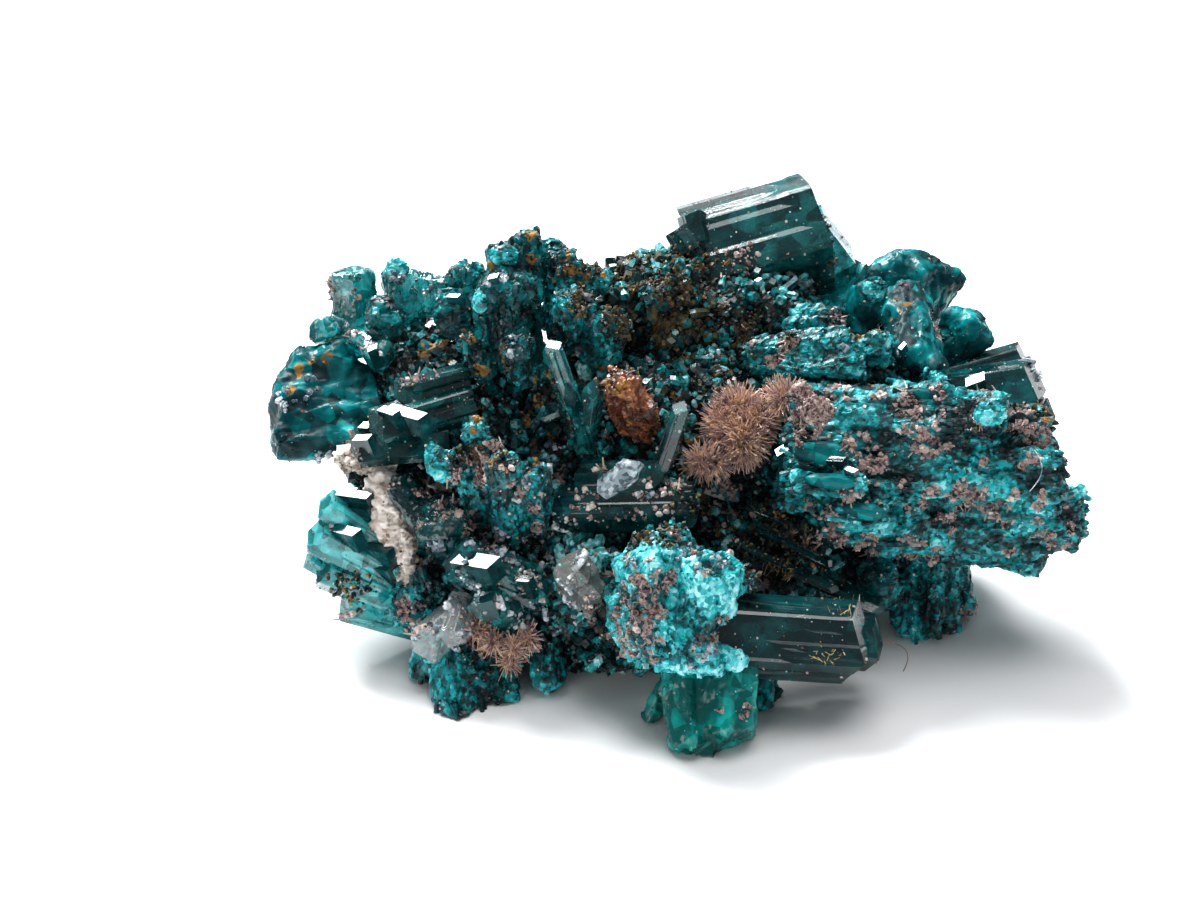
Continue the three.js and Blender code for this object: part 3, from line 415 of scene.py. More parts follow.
RECIPES = {
    "deep_dioptase": dict(
        ramp=[(0.25, (0.002, 0.030, 0.034)), (0.6, (0.005, 0.085, 0.09)),
              (0.9, (0.02, 0.25, 0.25))],
        roughness=(0.05, 0.2), groove=0.07, fineness=6.0, facet=1.1, facet_depth=0.06,
        clear=(1.67, (0.01, 0.80, 0.80), 1100, 0.6), tone_share=0.3, shine=0.35),
    "mirror_dioptase": dict(
        ramp=[(0.3, (0.001, 0.018, 0.02)), (0.7, (0.004, 0.06, 0.065))],
        roughness=(0.02, 0.12), groove=0.1, fineness=6.0, facet=1.1, facet_depth=0.05, shine=0.6),
    "teal_dioptase": dict(
        ramp=[(0.2, (0.001, 0.045, 0.05)), (0.42, (0.004, 0.15, 0.155)),
              (0.65, (0.015, 0.36, 0.37)), (0.9, (0.12, 0.66, 0.66))],
        roughness=(0.04, 0.35), groove=0.16, fineness=6.0, facet=0.5, facet_depth=0.35,
        clear=(1.67, (0.01, 0.84, 0.84), 650, 0.6), tone_share=0.35, shine=0.4),
    "green_dioptase": dict(
        ramp=[(0.2, (0.0, 0.13, 0.12)), (0.5, (0.0, 0.36, 0.32)), (0.85, (0.005, 0.62, 0.55))],
        roughness=(0.05, 0.3), groove=0.1, fineness=5.0, facet=0.9, facet_depth=0.2,
        clear=(1.67, (0.001, 0.88, 0.80), 900, 0.35), tone_share=0.3, shine=0.12),
    "glowing_dioptase": dict(
        ramp=[(0.2, (0.001, 0.10, 0.105)), (0.45, (0.005, 0.33, 0.34)),
              (0.85, (0.18, 0.74, 0.75))],
        roughness=(0.04, 0.3), groove=0.2, fineness=6.0, facet=0.6, facet_depth=0.3,
        clear=(1.67, (0.02, 0.88, 0.88), 450, 0.5), tone_share=0.35, shine=0.4),
    "veiled_dioptase": dict(
        ramp=[(0.1, (0.0003, 0.018, 0.022)), (0.36, (0.0005, 0.07, 0.078)),
              (0.58, (0.001, 0.16, 0.17)), (0.8, (0.004, 0.32, 0.335)),
              (0.97, (0.05, 0.58, 0.60))],
        roughness=(0.2, 0.5), groove=0.08, facet=1.0, facet_depth=0.5, patch=2.4,
        painted_shade_share=0.35, shine=0.15),
    "cream_rock": dict(
        ramp=[(0.05, (0.28, 0.21, 0.16)), (0.25, (0.60, 0.52, 0.45)), (0.55, (0.82, 0.76, 0.70)),
              (0.95, (0.93, 0.91, 0.88))],
        roughness=(0.4, 0.8), groove=0.1, facet=0.25, facet_depth=0.6, patch=1.2,
        painted_shade_share=0.3),
    "rough_dioptase": dict(
        ramp=[(0.02, NEARLY_BLACK), (0.18, DEEP), (0.35, TEAL), (0.52, TURQUOISE),
              (0.70, PALE_TURQUOISE), (0.90, FROSTED)],
        roughness=(0.10, 0.5), groove=0.3, facet=0.28, facet_depth=0.6, patch=1.6,
        painted_shade_share=0.5, shine=0.35),
    "dark_dioptase": dict(
        ramp=[(0.08, (0.0005, 0.011, 0.013)), (0.36, (0.001, 0.045, 0.05)),
              (0.55, (0.001, 0.12, 0.128)), (0.74, (0.003, 0.26, 0.27)),
              (0.95, (0.04, 0.5, 0.52))],
        roughness=(0.06, 0.4), groove=0.15, facet=0.45, facet_depth=0.5, patch=2.0,
        painted_shade_share=0.3, shine=0.25),
    "bright_turquoise": dict(
        ramp=[(0.0, DEEP), (0.1, TEAL), (0.25, TURQUOISE), (0.45, PALE_TURQUOISE),
              (0.76, FROSTED)],
        roughness=(0.12, 0.5), groove=0.15, facet=0.3, facet_depth=0.6, patch=1.6,
        painted_shade_share=0.6, shine=0.35),
    "dark_druse": dict(
        ramp=[(0.05, (0.0006, 0.010, 0.011)), (0.28, (0.001, 0.05, 0.054)),
              (0.47, (0.003, 0.15, 0.158)), (0.66, (0.03, 0.34, 0.35)),
              (0.86, (0.36, 0.68, 0.69))],
        roughness=(0.05, 0.35), groove=0.1, facet_depth=0.15, patch=2.5, tone_share=0.6,
        shine=0.4),
    "pink_crust": dict(
        ramp=[(0.05, (0.05, 0.03, 0.028)), (0.26, (0.26, 0.165, 0.145)),
              (0.5, (0.52, 0.38, 0.34)), (0.8, (0.78, 0.67, 0.61))],
        roughness=(0.3, 0.7), groove=0.2, facet=0.14, facet_depth=0.9, patch=0.9, tone_share=0.9),
    "pink_needles": dict(
        ramp=[(0.05, (0.05, 0.03, 0.03)), (0.28, (0.30, 0.20, 0.20)), (0.48, (0.56, 0.41, 0.38)),
              (0.66, (0.60, 0.33, 0.19)), (0.95, (0.86, 0.66, 0.46))],
        roughness=(0.2, 0.5), groove=0.05, facet_depth=0.0, patch=1.7, tone_share=0.6),
    "ochre_crust": dict(
        ramp=[(0.1, (0.02, 0.01, 0.005)), (0.4, (0.18, 0.07, 0.018)), (0.7, (0.52, 0.25, 0.05)),
              (0.95, (0.80, 0.58, 0.24))],
        roughness=(0.25, 0.6), groove=0.2, facet=0.14, facet_depth=0.9, tone_share=0.9),
    "olive_crust": dict(
        ramp=[(0.1, (0.001, 0.004, 0.004)), (0.45, (0.004, 0.016, 0.014)),
              (0.65, (0.022, 0.035, 0.020)), (0.82, (0.10, 0.07, 0.02)),
              (0.99, (0.34, 0.22, 0.06))],
        roughness=(0.12, 0.5), groove=0.2, facet=0.2, facet_depth=0.6, tone_share=0.9, shine=0.4),
    "rust_mineral": dict(
        ramp=[(0.15, (0.05, 0.014, 0.006)), (0.5, (0.22, 0.065, 0.022)),
              (0.85, (0.5, 0.22, 0.08))],
        roughness=(0.12, 0.4), groove=0.2, facet=0.5, facet_depth=0.8),
    "rock": dict(
        ramp=[(0.15, (0.002, 0.004, 0.004)), (0.45, (0.006, 0.012, 0.010)),
              (0.7, (0.03, 0.03, 0.018)), (0.95, (0.13, 0.075, 0.03))],
        roughness=(0.3, 0.7), groove=0.2, facet=0.35, facet_depth=1.0),
    "clear_crystal": dict(
        ramp=[(0.2, (0.70, 0.74, 0.74)), (0.8, (0.95, 0.97, 0.97))],
        roughness=(0.02, 0.15), groove=0.2, facet=0.7, facet_depth=0.35,
        clear=(1.54, (0.85, 0.9, 0.88), 100, 0.8)),
    "grey_crystal": dict(
        ramp=[(0.2, (0.6, 0.66, 0.62)), (0.8, (0.92, 0.96, 0.94))],
        roughness=(0.1, 0.4), groove=0.2, facet=0.5, facet_depth=0.5,
        clear=(1.55, (0.5, 0.6, 0.55), 500, 0.9)),
    # Nearly white: the white fibre's own colour, and painted highlight on the glint grains and on
    # white_pyramid, where faces flash.
    "white_sparkle": dict(
        ramp=[(0.2, (0.07, 0.11, 0.14)), (0.5, (0.36, 0.43, 0.48)), (0.85, (0.85, 0.88, 0.92))],
        roughness=(0.05, 0.25), groove=0.2, facet=0.3, facet_depth=0.9, tone_share=0.6),
    "gold_needles": dict(
        ramp=[(0.2, (0.3, 0.17, 0.03)), (0.6, (0.75, 0.52, 0.16)), (0.9, (0.95, 0.85, 0.5))],
        roughness=(0.2, 0.35), groove=0.1, facet_depth=0.1, tone_share=0.6),
}

minerals = {name: mineral(name, **recipe) for name, recipe in RECIPES.items()}
print("minerals:", len(minerals))

# %% [markdown]
# ## A crystal, face by face
# A prism with six unequal sides and three rhomb faces at its end. Its outline is the meeting
# of six flat planes. Growth steps lie along it as long shallow terraces, each a few columns
# of points wide, that start and stop along the length as on the real faces. Rings of points
# written in code give sharp terraces, which a bevelled cylinder doesn't have.

# %% The rings of points of one crystal
RHOMB_SLOPE = 1.23
BLUNT = 0.35
BROKEN = 0.08
COLUMNS_PER_SIDE = 12
RINGS = 12
STEP_SHARE = 0.022


BOX_FACES = [(0, 2, 3, 1), (4, 5, 7, 6), (0, 1, 5, 4), (2, 6, 7, 3), (0, 4, 6, 2), (1, 3, 7, 5)]


def terraces(chance, rings, count):
    """How many steps each point lies below the face, in blocks along and across."""
    steps = np.zeros((rings, count))
    for _ in range(count // 3):
        first, width = chance.integers(0, count), chance.integers(1, 5)
        low, high = sorted(chance.integers(0, rings + 1, 2))
        columns = (first + np.arange(width)) % count
        steps[low:high, columns] += 1
    return np.minimum(steps, 2)


def crystal_points(length, radius, slope, flat, seed, columns, rings):
    """Rings of points up the sides and over the end, in mm, with the axis along z."""
    chance = np.random.default_rng(seed)
    count = 6 * columns
    angle = np.arange(count) / count * 2 * math.pi
    sides = np.arange(6) * math.pi / 3 + math.pi / 6
    reach = radius * math.cos(math.pi / 6) * (1 + chance.uniform(-0.12, 0.08, 6))
    facing = np.cos(angle[:, None] - sides[None, :])
    outline = np.min(np.where(facing > 0.2, reach / np.maximum(facing, 0.2), 1e9), axis=1)
    ends = np.arange(3) * 2 * math.pi / 3
    fall = outline * np.max(np.cos(angle[:, None] - ends[None, :]), axis=1)
    levels = terraces(chance, rings, count)
    layers = [(outline - STEP_SHARE * radius * levels[ring],
               (length - slope * fall) * ring / (rings - 1)) for ring in range(rings)]
    layers += [((outline - STEP_SHARE * radius * levels[-1]) * share,
                length - slope * fall * share) for share in (0.8, 0.5, 0.2)]
    return [np.stack([np.cos(angle) * wide, np.sin(angle) * wide * flat, high], 1)
            for wide, high in layers]


# %% From rings to a closed mesh
def frame_along(start, end, spin):
    """Three axes of a crystal: two across it and one along it."""
    along = (end - start).normalized()
    turn = Matrix.Rotation(math.radians(spin), 3, along)
    across = turn @ along.orthogonal().normalized()
    return across, along.cross(across), along


def spin_to_face(start, end, look):
    """The spin that turns the middle of one side to look in a direction."""
    across, aside, along = frame_along(start, end, 0)
    return math.degrees(math.atan2(look.dot(aside), look.dot(across))) - 30


def closed_faces(ring_count, count):
    """Faces between rings, and the fans that close both ends, as point numbers."""
    around = np.arange(count)
    after = (around + 1) % count
    faces = []
    for ring in range(ring_count - 1):
        a, b = ring * count, (ring + 1) * count
        faces += np.stack([a + around, a + after, b + after, b + around], 1).tolist()
    top, tip, foot = (ring_count - 1) * count, ring_count * count, ring_count * count + 1
    faces += [[top + i, top + j, tip] for i, j in zip(around.tolist(), after.tolist())]
    faces += [[j, i, foot] for i, j in zip(around.tolist(), after.tolist())]
    return faces


def crystal(name, start, end, radius, slope=RHOMB_SLOPE, spin=0.0, flat=1.0, seed=1,
            columns=COLUMNS_PER_SIDE, rings=RINGS):
    """One closed crystal as a mesh object, with crystal_place and tone on its corners."""
    length = (end - start).length / MM
    layers = crystal_points(length, radius, slope, flat, seed, columns, rings)
    local = np.concatenate(layers + [[[0, 0, length], [0, 0, 0]]])
    places = local @ np.array(frame_along(start, end, spin)) * MM + np.array(start)
    faces = closed_faces(len(layers), len(layers[0]))
    return mesh_from(name, places, faces, local + 7.3 * seed, (seed * 0.6180339) % 1.0)


def mesh_from(name, points, faces, own_places=None, tone=None):
    """A mesh object with its attributes kept on the corners of its faces."""
    mesh = bpy.data.meshes.new(name)
    mesh.from_pydata(np.asarray(points).tolist(), [], faces)
    corners = np.zeros(len(mesh.loops), np.int32)
    mesh.loops.foreach_get("vertex_index", corners)
    if own_places is not None:
        kept = mesh.attributes.new("crystal_place", "FLOAT_VECTOR", "CORNER")
        kept.data.foreach_set("vector", np.asarray(own_places, np.float32)[corners].ravel())
    if tone is not None:
        kept = mesh.attributes.new("tone", "FLOAT", "CORNER")
        kept.data.foreach_set("value", np.full(len(corners), tone, np.float32))
    return placed(name, mesh)


CUT_HALF = 60
under_floor = mesh_from("under_floor", np.array(
    [(x, y, z) for z in (-CUT_HALF, 0) for y in (-CUT_HALF, CUT_HALF)
     for x in (-CUT_HALF, CUT_HALF)]) * MM, BOX_FACES)


def made_by(carrier):
    """The mesh that an object's modifiers make, with its attributes."""
    depsgraph = bpy.context.evaluated_depsgraph_get()
    return bpy.data.meshes.new_from_object(
        carrier.evaluated_get(depsgraph), preserve_all_data_layers=True, depsgraph=depsgraph)


def grown_together(name, crystals, material):
    """One closed piece of crystals that run into each other, with nothing left inside."""
    first = crystals[0]
    for other in crystals[1:]:
        joint = first.modifiers.new("grown", "BOOLEAN")
        joint.operation, joint.solver, joint.object = "UNION", "MANIFOLD", other
    cut = first.modifiers.new("cut", "BOOLEAN")
    cut.operation, cut.solver, cut.object = "DIFFERENCE", "MANIFOLD", under_floor
    mesh = made_by(first)
    for part in crystals:
        bpy.data.objects.remove(part)
    mesh.materials.clear()
    mesh.materials.append(material)
    mesh.name = name
    return placed(name, mesh)


# %% [markdown]
# ## The clear crystals, one by one
# Each line is a crystal: where it starts in the rock, where it ends, and its radius, in mm in
# the front view. Small crystals grow on the sides of the large ones, parallel to them; they
# are added by the same rule everywhere, with a fixed seed.

# %% Where the clear crystals stand
B, K = BLUNT, BROKEN
clear_crystals = {
    "top_prism": ("deep_dioptase", [
        ((1.6, 11.9, -8.8), (9.9, 14.3, -9.2), 4.3, K, -13, 1.0),
        ((1.9, 13.2, -5.6), (1.4, 15.3, -6.0), 1.0, B, 0, 1.0),
        ((1.3, 12.6, -5.0), (0.4, 14.2, -5.4), 0.9, B, 20, 1.0)]),
    "top_termination": ("teal_dioptase", [
        ((4.4, 10.0, -11.2), (12.0, 13.7, -10.9), 3.3, B, -6, 1.0),
        ((10.6, 8.4, -9.4), (13.2, 12.2, -10.2), 1.2, B, 5, 1.0)]),
    "right_dark_crystal": ("deep_dioptase", [
        ((14.6, 2.6, -4.8), (23.3, 4.0, -3.4), 2.3, 0.5, -13, 1.0),
        ((16.0, 4.0, -5.8), (22.4, 5.8, -4.6), 1.4, B, -13, 1.0),
        ((18.6, 2.0, -4.6), (23.9, 2.4, -3.6), 1.3, 0.6, 0, 1.0)]),
    "cavity_blades": ("deep_dioptase", [
        ((3.6, -5.2, 1.2), (9.8, -8.0, 3.2), 0.9, 0.6, 40, 0.4),
        ((8.2, -7.4, 0.6), (12.6, -9.2, 2.2), 0.9, 0.6, 60, 0.4),
        ((4.4, -3.2, 1.2), (10.0, -5.4, 2.6), 0.9, 0.6, 30, 0.45),
        ((5.0, -4.4, 2.0), (9.4, -6.6, 3.0), 0.6, 0.6, 10, 0.5)]),
    "right_foot_prism": ("deep_dioptase", [
        ((1.6, -10.2, 7.0), (11.4, -10.9, 5.8), 2.45, 0.7, -4, 1.0),
        ((7.2, -10.6, 5.2), (12.2, -11.1, 4.6), 1.7, 0.6, -2, 1.0),
        ((3.4, -9.3, 7.6), (9.2, -9.9, 7.0), 1.3, B, -5, 1.0)]),
    "left_bundle": ("glowing_dioptase", [
        ((-14.6, -6.9, -0.4), (-21.1, -2.7, 1.8), 1.2, 0.5, None, 1.0),
        ((-14.6, -8.7, -0.6), (-21.8, -4.5, 1.8), 1.4, 0.5, None, 1.0),
        ((-14.6, -9.7, -1.0), (-21.4, -6.6, 1.4), 1.4, 0.5, None, 1.0),
        ((-14.8, -10.4, -1.4), (-20.0, -8.8, 0.6), 1.2, 0.4, 3, 1.0),
        ((-18.2, -8.1, 0.6), (-21.9, -5.9, 1.4), 0.9, B, 20, 1.0)]),
    "glint_crystal": ("deep_dioptase", [
        ((-12.4, 3.2, 0.4), (-18.0, 1.4, 3.4), 1.4, 0.5, None, 1.0),
        ((-13.6, 0.9, 1.2), (-19.2, 0.3, 2.8), 1.1, 0.5, None, 1.0),
        ((-12.6, 4.6, 0.2), (-16.6, 3.4, 2.4), 1.1, 0.5, None, 1.0)]),
    "centre_fan": ("teal_dioptase", [
        ((-5.2, 0.6, 1.4), (-4.6, 4.6, 4.4), 1.2, RHOMB_SLOPE, 10, 0.5),
        ((-5.0, 0.6, 1.6), (-6.4, 4.2, 4.4), 1.0, RHOMB_SLOPE, 35, 0.5),
        ((-6.0, 2.8, 3.2), (-7.4, 6.8, 3.6), 1.0, 0.7, 50, 0.6)]),
    "dark_prism": ("deep_dioptase", [
        ((-6.8, -3.2, 2.0), (1.4, -3.0, 4.6), 1.5, 0.6, -12, 1.0),
        ((-5.4, -1.6, 2.0), (-0.6, -1.4, 4.4), 1.2, 0.6, -2, 1.0),
        ((-0.9, -1.2, 3.2), (0.6, 3.2, 3.8), 1.0, 0.9, 16, 0.6)]),
    "facet_prism": ("teal_dioptase", [
        ((-8.2, -8.2, 2.4), (-13.0, -5.9, 5.2), 1.5, B, None, 1.0),
        ((-9.0, -10.0, 2.2), (-11.4, -8.2, 5.4), 1.2, 0.6, None, 1.0),
        ((-7.6, -8.6, 2.8), (-9.0, -6.8, 5.0), 0.9, 0.6, 33, 1.0)]),
    "clear_crystal": ("clear_crystal", [
        ((-12.2, -9.2, 2.6), (-15.2, -11.6, 4.4), 1.3, 0.7, 12, 1.0),
        ((-12.4, -8.6, 3.4), (-13.2, -11.2, 5.2), 1.0, 0.8, 27, 1.0)]),
    "grey_crystal": ("grey_crystal", [
        ((-5.6, -8.0, 4.6), (-5.9, -6.2, 8.2), 1.3, 0.8, 6, 1.0),
        ((-5.0, -8.4, 5.0), (-4.9, -7.4, 7.8), 0.9, 0.8, 24, 1.0)]),
    # Its nearly white colour is painted highlight, where this small crystal flashes.
    "white_pyramid": ("white_sparkle", [
        ((-3.9, -2.0, 3.6), (-2.0, -0.4, 5.5), 1.0, RHOMB_SLOPE, 10, 0.8)]),
}
hidden_crystals = {
    "back_left_cluster": ("teal_dioptase", [
        ((-12.0, 2.0, 9.0), (-18.6, 11.0, 12.6), 2.6, RHOMB_SLOPE, 0, 1.0)]),
    "back_left_upper": ("teal_dioptase", [
        ((-10.0, 5.0, 12.0), (-12.6, 13.2, 14.6), 1.8, RHOMB_SLOPE, 15, 1.0)]),
    "back_left_lower": ("teal_dioptase", [
        ((-13.0, 3.0, 6.0), (-17.6, 9.6, 4.6), 1.9, 0.7, 27, 1.0)]),
    "back_middle_cluster": ("deep_dioptase", [
        ((-3.0, 6.0, 10.0), (-4.6, 15.0, 12.4), 2.4, RHOMB_SLOPE, 9, 1.0)]),
    "back_middle_right": ("deep_dioptase", [
        ((1.0, 6.0, 6.0), (2.6, 14.4, 6.6), 2.2, 0.7, 20, 1.0)]),
    "back_middle_left": ("deep_dioptase", [
        ((-6.0, 6.0, 5.0), (-8.2, 13.0, 5.4), 1.8, RHOMB_SLOPE, 5, 1.0)]),
}

# %% Grow them
SIDE_GROWTHS = 4
mirror_look = (towards_camera + Vector(WINDOW_PLACE).normalized()).normalized()


def with_side_growths(name, start, end, radius, slope, spin, flat, seed):
    """A crystal and the smaller ones that grew along its sides.

    With no spin one side mirrors the window. Else it is turned on from facing the viewer.
    """
    if spin is None:
        spin = spin_to_face(start, end, mirror_look)
    else:
        spin += spin_to_face(start, end, towards_camera)
    grown = [crystal(name, start, end, radius, slope, spin, flat, seed)]
    chance = random.Random(seed)
    across, aside, along = frame_along(start, end, spin)
    for i in range(SIDE_GROWTHS):
        angle = math.radians(60 * chance.randrange(6) + chance.uniform(-12, 12))
        out_by = radius * chance.uniform(0.6, 0.78) * MM
        shift = (across * math.cos(angle) + aside * math.sin(angle) * flat) * out_by
        reach = (end - start) * chance.uniform(0.45, 0.9)
        small = radius * chance.uniform(0.2, 0.4)
        grown.append(crystal(name, start + shift, start + shift + reach, small, slope,
                             spin + chance.uniform(-3, 3), flat, seed * 31 + i, 4, 5))
    return grown


def clear_piece(node, material_name, crystals, place_of, seed):
    grown = []
    for i, (start, end, radius, slope, spin, flat) in enumerate(crystals):
        grown += with_side_growths(node, place_of(*start), place_of(*end), radius, slope, spin,
                                   flat, seed * 100 + i)
    piece = grown_together(node + "_crystals", grown, minerals[material_name])
    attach(piece, "root")
    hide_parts(node)
    return piece


clear_pieces = {}
for seed, (node, (material_name, crystals)) in enumerate(clear_crystals.items(), 1):
    clear_pieces[node] = clear_piece(node, material_name, crystals, seen, seed)
for seed, (node, (material_name, crystals)) in enumerate(hidden_crystals.items(), 51):
    clear_pieces[node] = clear_piece(node, material_name, crystals, standing, seed)
print("clear pieces:", len(clear_pieces),
      "faces:", sum(len(p.data.polygons) for p in clear_pieces.values()))

# %% [markdown]
# ## Where the other minerals lie
# Each patch is a circle in the front view. Lines of sight are sent through it, and where
# they meet the solids, a point is kept. More patches are laid on the sides, the back and the
# top in the same way, so that the specimen is the same mineral all round. The glint patches
# mark no mineral: they carry painted highlights.

# %% Points of the patches on the solids
solid_points, solid_faces = [], []
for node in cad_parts.values():
    base = len(solid_points)
    solid_points += [node.matrix_world @ v.co for v in node.data.vertices]
    solid_faces += [[base + i for i in f.vertices] for f in node.data.polygons]
solids = BVHTree.FromPolygons(solid_points, solid_faces)

# name: (x, y, radius) in mm in the front view
patches = {
    "pink": [(11.9, -0.1, 1.0), (14.3, 3.2, 0.8), (14.8, 1.6, 0.8), (15.2, 0.6, 0.7),
             (20.9, 2.2, 1.0), (21.8, 1.4, 1.0), (17.6, -2.5, 0.9), (18.3, -2.9, 0.7),
             (19.8, -3.6, 0.8), (22.4, -4.7, 0.8), (24.1, -3.9, 0.7), (8.3, -4.8, 0.7),
             (10.0, -5.0, 0.7), (12.0, -5.4, 0.8), (14.2, -5.7, 0.8), (15.8, -6.0, 0.6),
             (8.5, 2.4, 1.2), (10.0, 3.9, 0.7), (7.7, 4.5, 0.5), (4.2, 11.7, 1.0),
             (-2.6, -10.4, 1.3), (-1.8, -11.4, 0.8), (-1.4, -8.6, 0.7), (-0.5, -7.7, 0.7),
             (-14.0, -1.8, 0.6), (-12.9, -3.2, 0.7), (-11.9, -4.6, 0.7), (-10.9, -5.9, 0.6),
             (-11.6, -10.8, 0.9), (-10.4, -11.6, 1.1), (-9.0, -11.2, 0.9), (-19.0, 7.1, 0.8),
             (-15.2, -10.0, 1.0), (-16.3, -9.2, 0.6), (3.2, -2.4, 0.9), (3.4, -4.2, 1.0),
             (-19.2, 9.6, 0.4), (13.8, 10.2, 0.5), (16.8, -4.2, 0.6), (9.4, -3.9, 0.6),
             (-8.0, -4.9, 0.6), (5.6, -7.6, 0.5), (18.2, -9.6, 0.6), (4.5, -15.6, 0.4)],
    "ochre": [(-6.3, 11.3, 0.5), (-5.4, 10.3, 0.3), (-12.1, 7.0, 0.5), (-12.6, 5.8, 0.4),
              (-11.4, 5.3, 0.4), (-13.4, 4.8, 0.4), (-15.3, 4.3, 0.3), (2.4, -3.4, 0.4),
              (2.9, -4.6, 0.4), (-1.8, -13.7, 0.5), (3.2, 5.9, 0.35), (-23.1, 4.0, 0.3),
              (-22.6, 5.0, 0.25), (-8.9, 2.1, 0.4), (-14.0, 10.4, 0.2), (0.4, -0.8, 0.4),
              (-12.5, -9.6, 0.4), (2.3, 10.8, 0.3), (1.0, 9.2, 0.3), (3.6, -11.2, 0.2),
              (10.2, -12.0, 0.3), (-3.4, 7.4, 0.3), (-8.0, 4.6, 0.3), (5.4, 2.4, 0.6)],
    "cream": [(-17.4, -2.2, 1.1), (-17.0, -3.6, 1.1), (-16.6, -5.0, 1.0), (-16.2, -6.2, 0.7),
              (-18.6, -0.5, 0.9), (-19.6, 0.1, 0.6), (-15.8, -7.4, 0.5)],
    "olive": [(-2.6, 11.2, 1.2), (-0.6, 11.6, 1.4), (0.9, 10.2, 1.6), (-1.4, 9.6, 1.4),
              (1.4, 7.9, 1.2), (-3.2, 8.8, 0.9), (6.0, -3.6, 1.0), (7.0, -5.4, 1.2),
              (4.6, -5.2, 1.0), (5.6, -7.2, 0.8), (1.4, -2.6, 0.8), (-12.4, 0.2, 0.7),
              (-5.6, 9.4, 0.7), (-1.6, -14.6, 0.5), (0.0, 8.6, 1.6), (2.4, 9.4, 1.0),
              (-2.6, 7.6, 1.0), (1.8, 11.6, 0.8), (-0.6, 7.2, 0.9)],
    # Spots where faces flash: they get nearly white small crystals, a painted highlight.
    "sparkle": [(-9.7, 6.9, 0.7), (-12.1, 9.2, 0.45), (-10.6, 10.7, 0.4), (-18.0, 6.4, 0.4),
                (10.0, -0.6, 0.4), (10.8, -1.1, 0.3), (18.3, 4.0, 0.5), (-3.3, -1.1, 0.7),
                (-16.0, -5.2, 0.4), (-8.4, -7.4, 0.3), (14.0, 6.2, 0.3), (1.6, -12.0, 0.8),
                (-10.4, -4.8, 0.3), (-21.8, 3.9, 0.3), (2.6, 3.7, 0.3), (-4.6, 8.4, 0.3),
                (-10.9, -8.9, 0.6), (-9.6, -9.0, 0.5), (-12.6, -8.0, 0.4), (-7.6, -9.6, 0.4),
                (-13.4, -5.2, 0.3), (-11.0, 3.2, 0.3), (-6.8, 0.6, 0.3), (-19.4, -8.2, 0.3)],
    "gold": [(9.2, -12.2, 0.35), (10.2, -12.0, 0.35), (10.4, -9.2, 0.35), (9.8, -8.8, 0.25),
             (-1.9, -13.4, 0.5), (1.9, -3.2, 0.4), (6.5, -6.8, 0.4), (8.8, -6.2, 0.3)],
}
SIGHTS_PER_MM2 = 7


def small_spots(low, high, count, seed):
    """Circles strewn over a box of the front view, for the grains between the patches."""
    chance = random.Random(seed)
    return [(chance.uniform(low[0], high[0]), chance.uniform(low[1], high[1]),
             chance.uniform(0.12, 0.42)) for _ in range(count)]


patches["pink"] += small_spots((7.0, -5.8), (24.6, 4.0), 70, 1)
patches["pink"] += small_spots((-16.0, -12.0), (-4.0, 0.0), 36, 2)
patches["pink"] += small_spots((-3.6, -12.0), (-0.4, -6.0), 16, 3)
patches["pink"] += small_spots((-10.0, -8.0), (4.0, 3.0), 30, 7)
patches["ochre"] += small_spots((-17.0, 0.0), (4.0, 12.0), 44, 4)
patches["sparkle"] += small_spots((-22.0, -11.0), (4.0, 12.0), 24, 5)
patches["sparkle"] += small_spots((-16.0, -12.0), (-5.0, -5.0), 60, 6)
patches["sparkle"] += small_spots((-10.0, -8.0), (3.0, 1.0), 34, 8)


def sights(origin, centre, across, up, radius, count, chance):
    """Where lines from origin through a circle meet the solids."""
    met = []
    for _ in range(count):
        angle, out_by = chance.uniform(0, 2 * math.pi), radius * MM * math.sqrt(chance.random())
        through = centre + (across * math.cos(angle) + up * math.sin(angle)) * out_by
        hit = solids.ray_cast(origin, (through - origin).normalized())[0]
        if hit is not None:
            met.append(hit)
    return met


def patch_points(name, circles, seed):
    chance = random.Random(seed)
    across, up = Vector((1, 0, 0)), front_direction(0, 1, 0)
    met = []
    for x, y, radius in circles:
        count = max(2, round(math.pi * radius * radius * SIGHTS_PER_MM2))
        met += sights(camera.location, seen(x, y, 0), across, up, radius, count, chance)
    middle = Vector((0, 0, 10 * MM))
    for azimuth in (60, 100, 140, 180, 220, 260, 300):
        for _ in range(HIDDEN_PATCHES[name]):
            turn = math.radians(azimuth - 90 + chance.uniform(-20, 20))
            eye = middle + Vector((math.cos(turn), math.sin(turn), chance.uniform(0, 1.2))) * 0.2
            aside = Vector((-math.sin(turn), math.cos(turn), 0))
            centre = middle + aside * chance.uniform(-20, 20) * MM
            centre.z = chance.uniform(2, 20) * MM
            met += sights(eye, centre, aside, Vector((0, 0, 1)), chance.uniform(0.5, 1.2), 12,
                          chance)
    return mesh_from(name + "_points", met, [])


def front_direction(x, y, z):
    return (seen(x, y, z) - seen(0, 0, 0)).normalized()


HIDDEN_PATCHES = {"pink": 5, "ochre": 3, "cream": 0, "olive": 3, "sparkle": 1, "gold": 0}
points_of = {}
for seed, (name, circles) in enumerate(patches.items(), 1):
    points_of[name] = patch_points(name, circles, seed)
print("patch points:", {n: len(p.data.vertices) for n, p in points_of.items()})

# %% [markdown]
# ## Rough bodies
# The turquoise bundles and the rock are broken and rounded, so straight prisms would be
# wrong. Each starts as a copy of its solid, remade as an even skin of small faces. A
# geometry node tree then moves the skin in and out: long ridges along the crystal axis,
# broad lumps, and chipped flat facets, each tilted its own way. It also writes where the
# stains lie, from the distance to the patch points, and how deep each point lies in a
# hollow, which the materials darken there as painted shade.

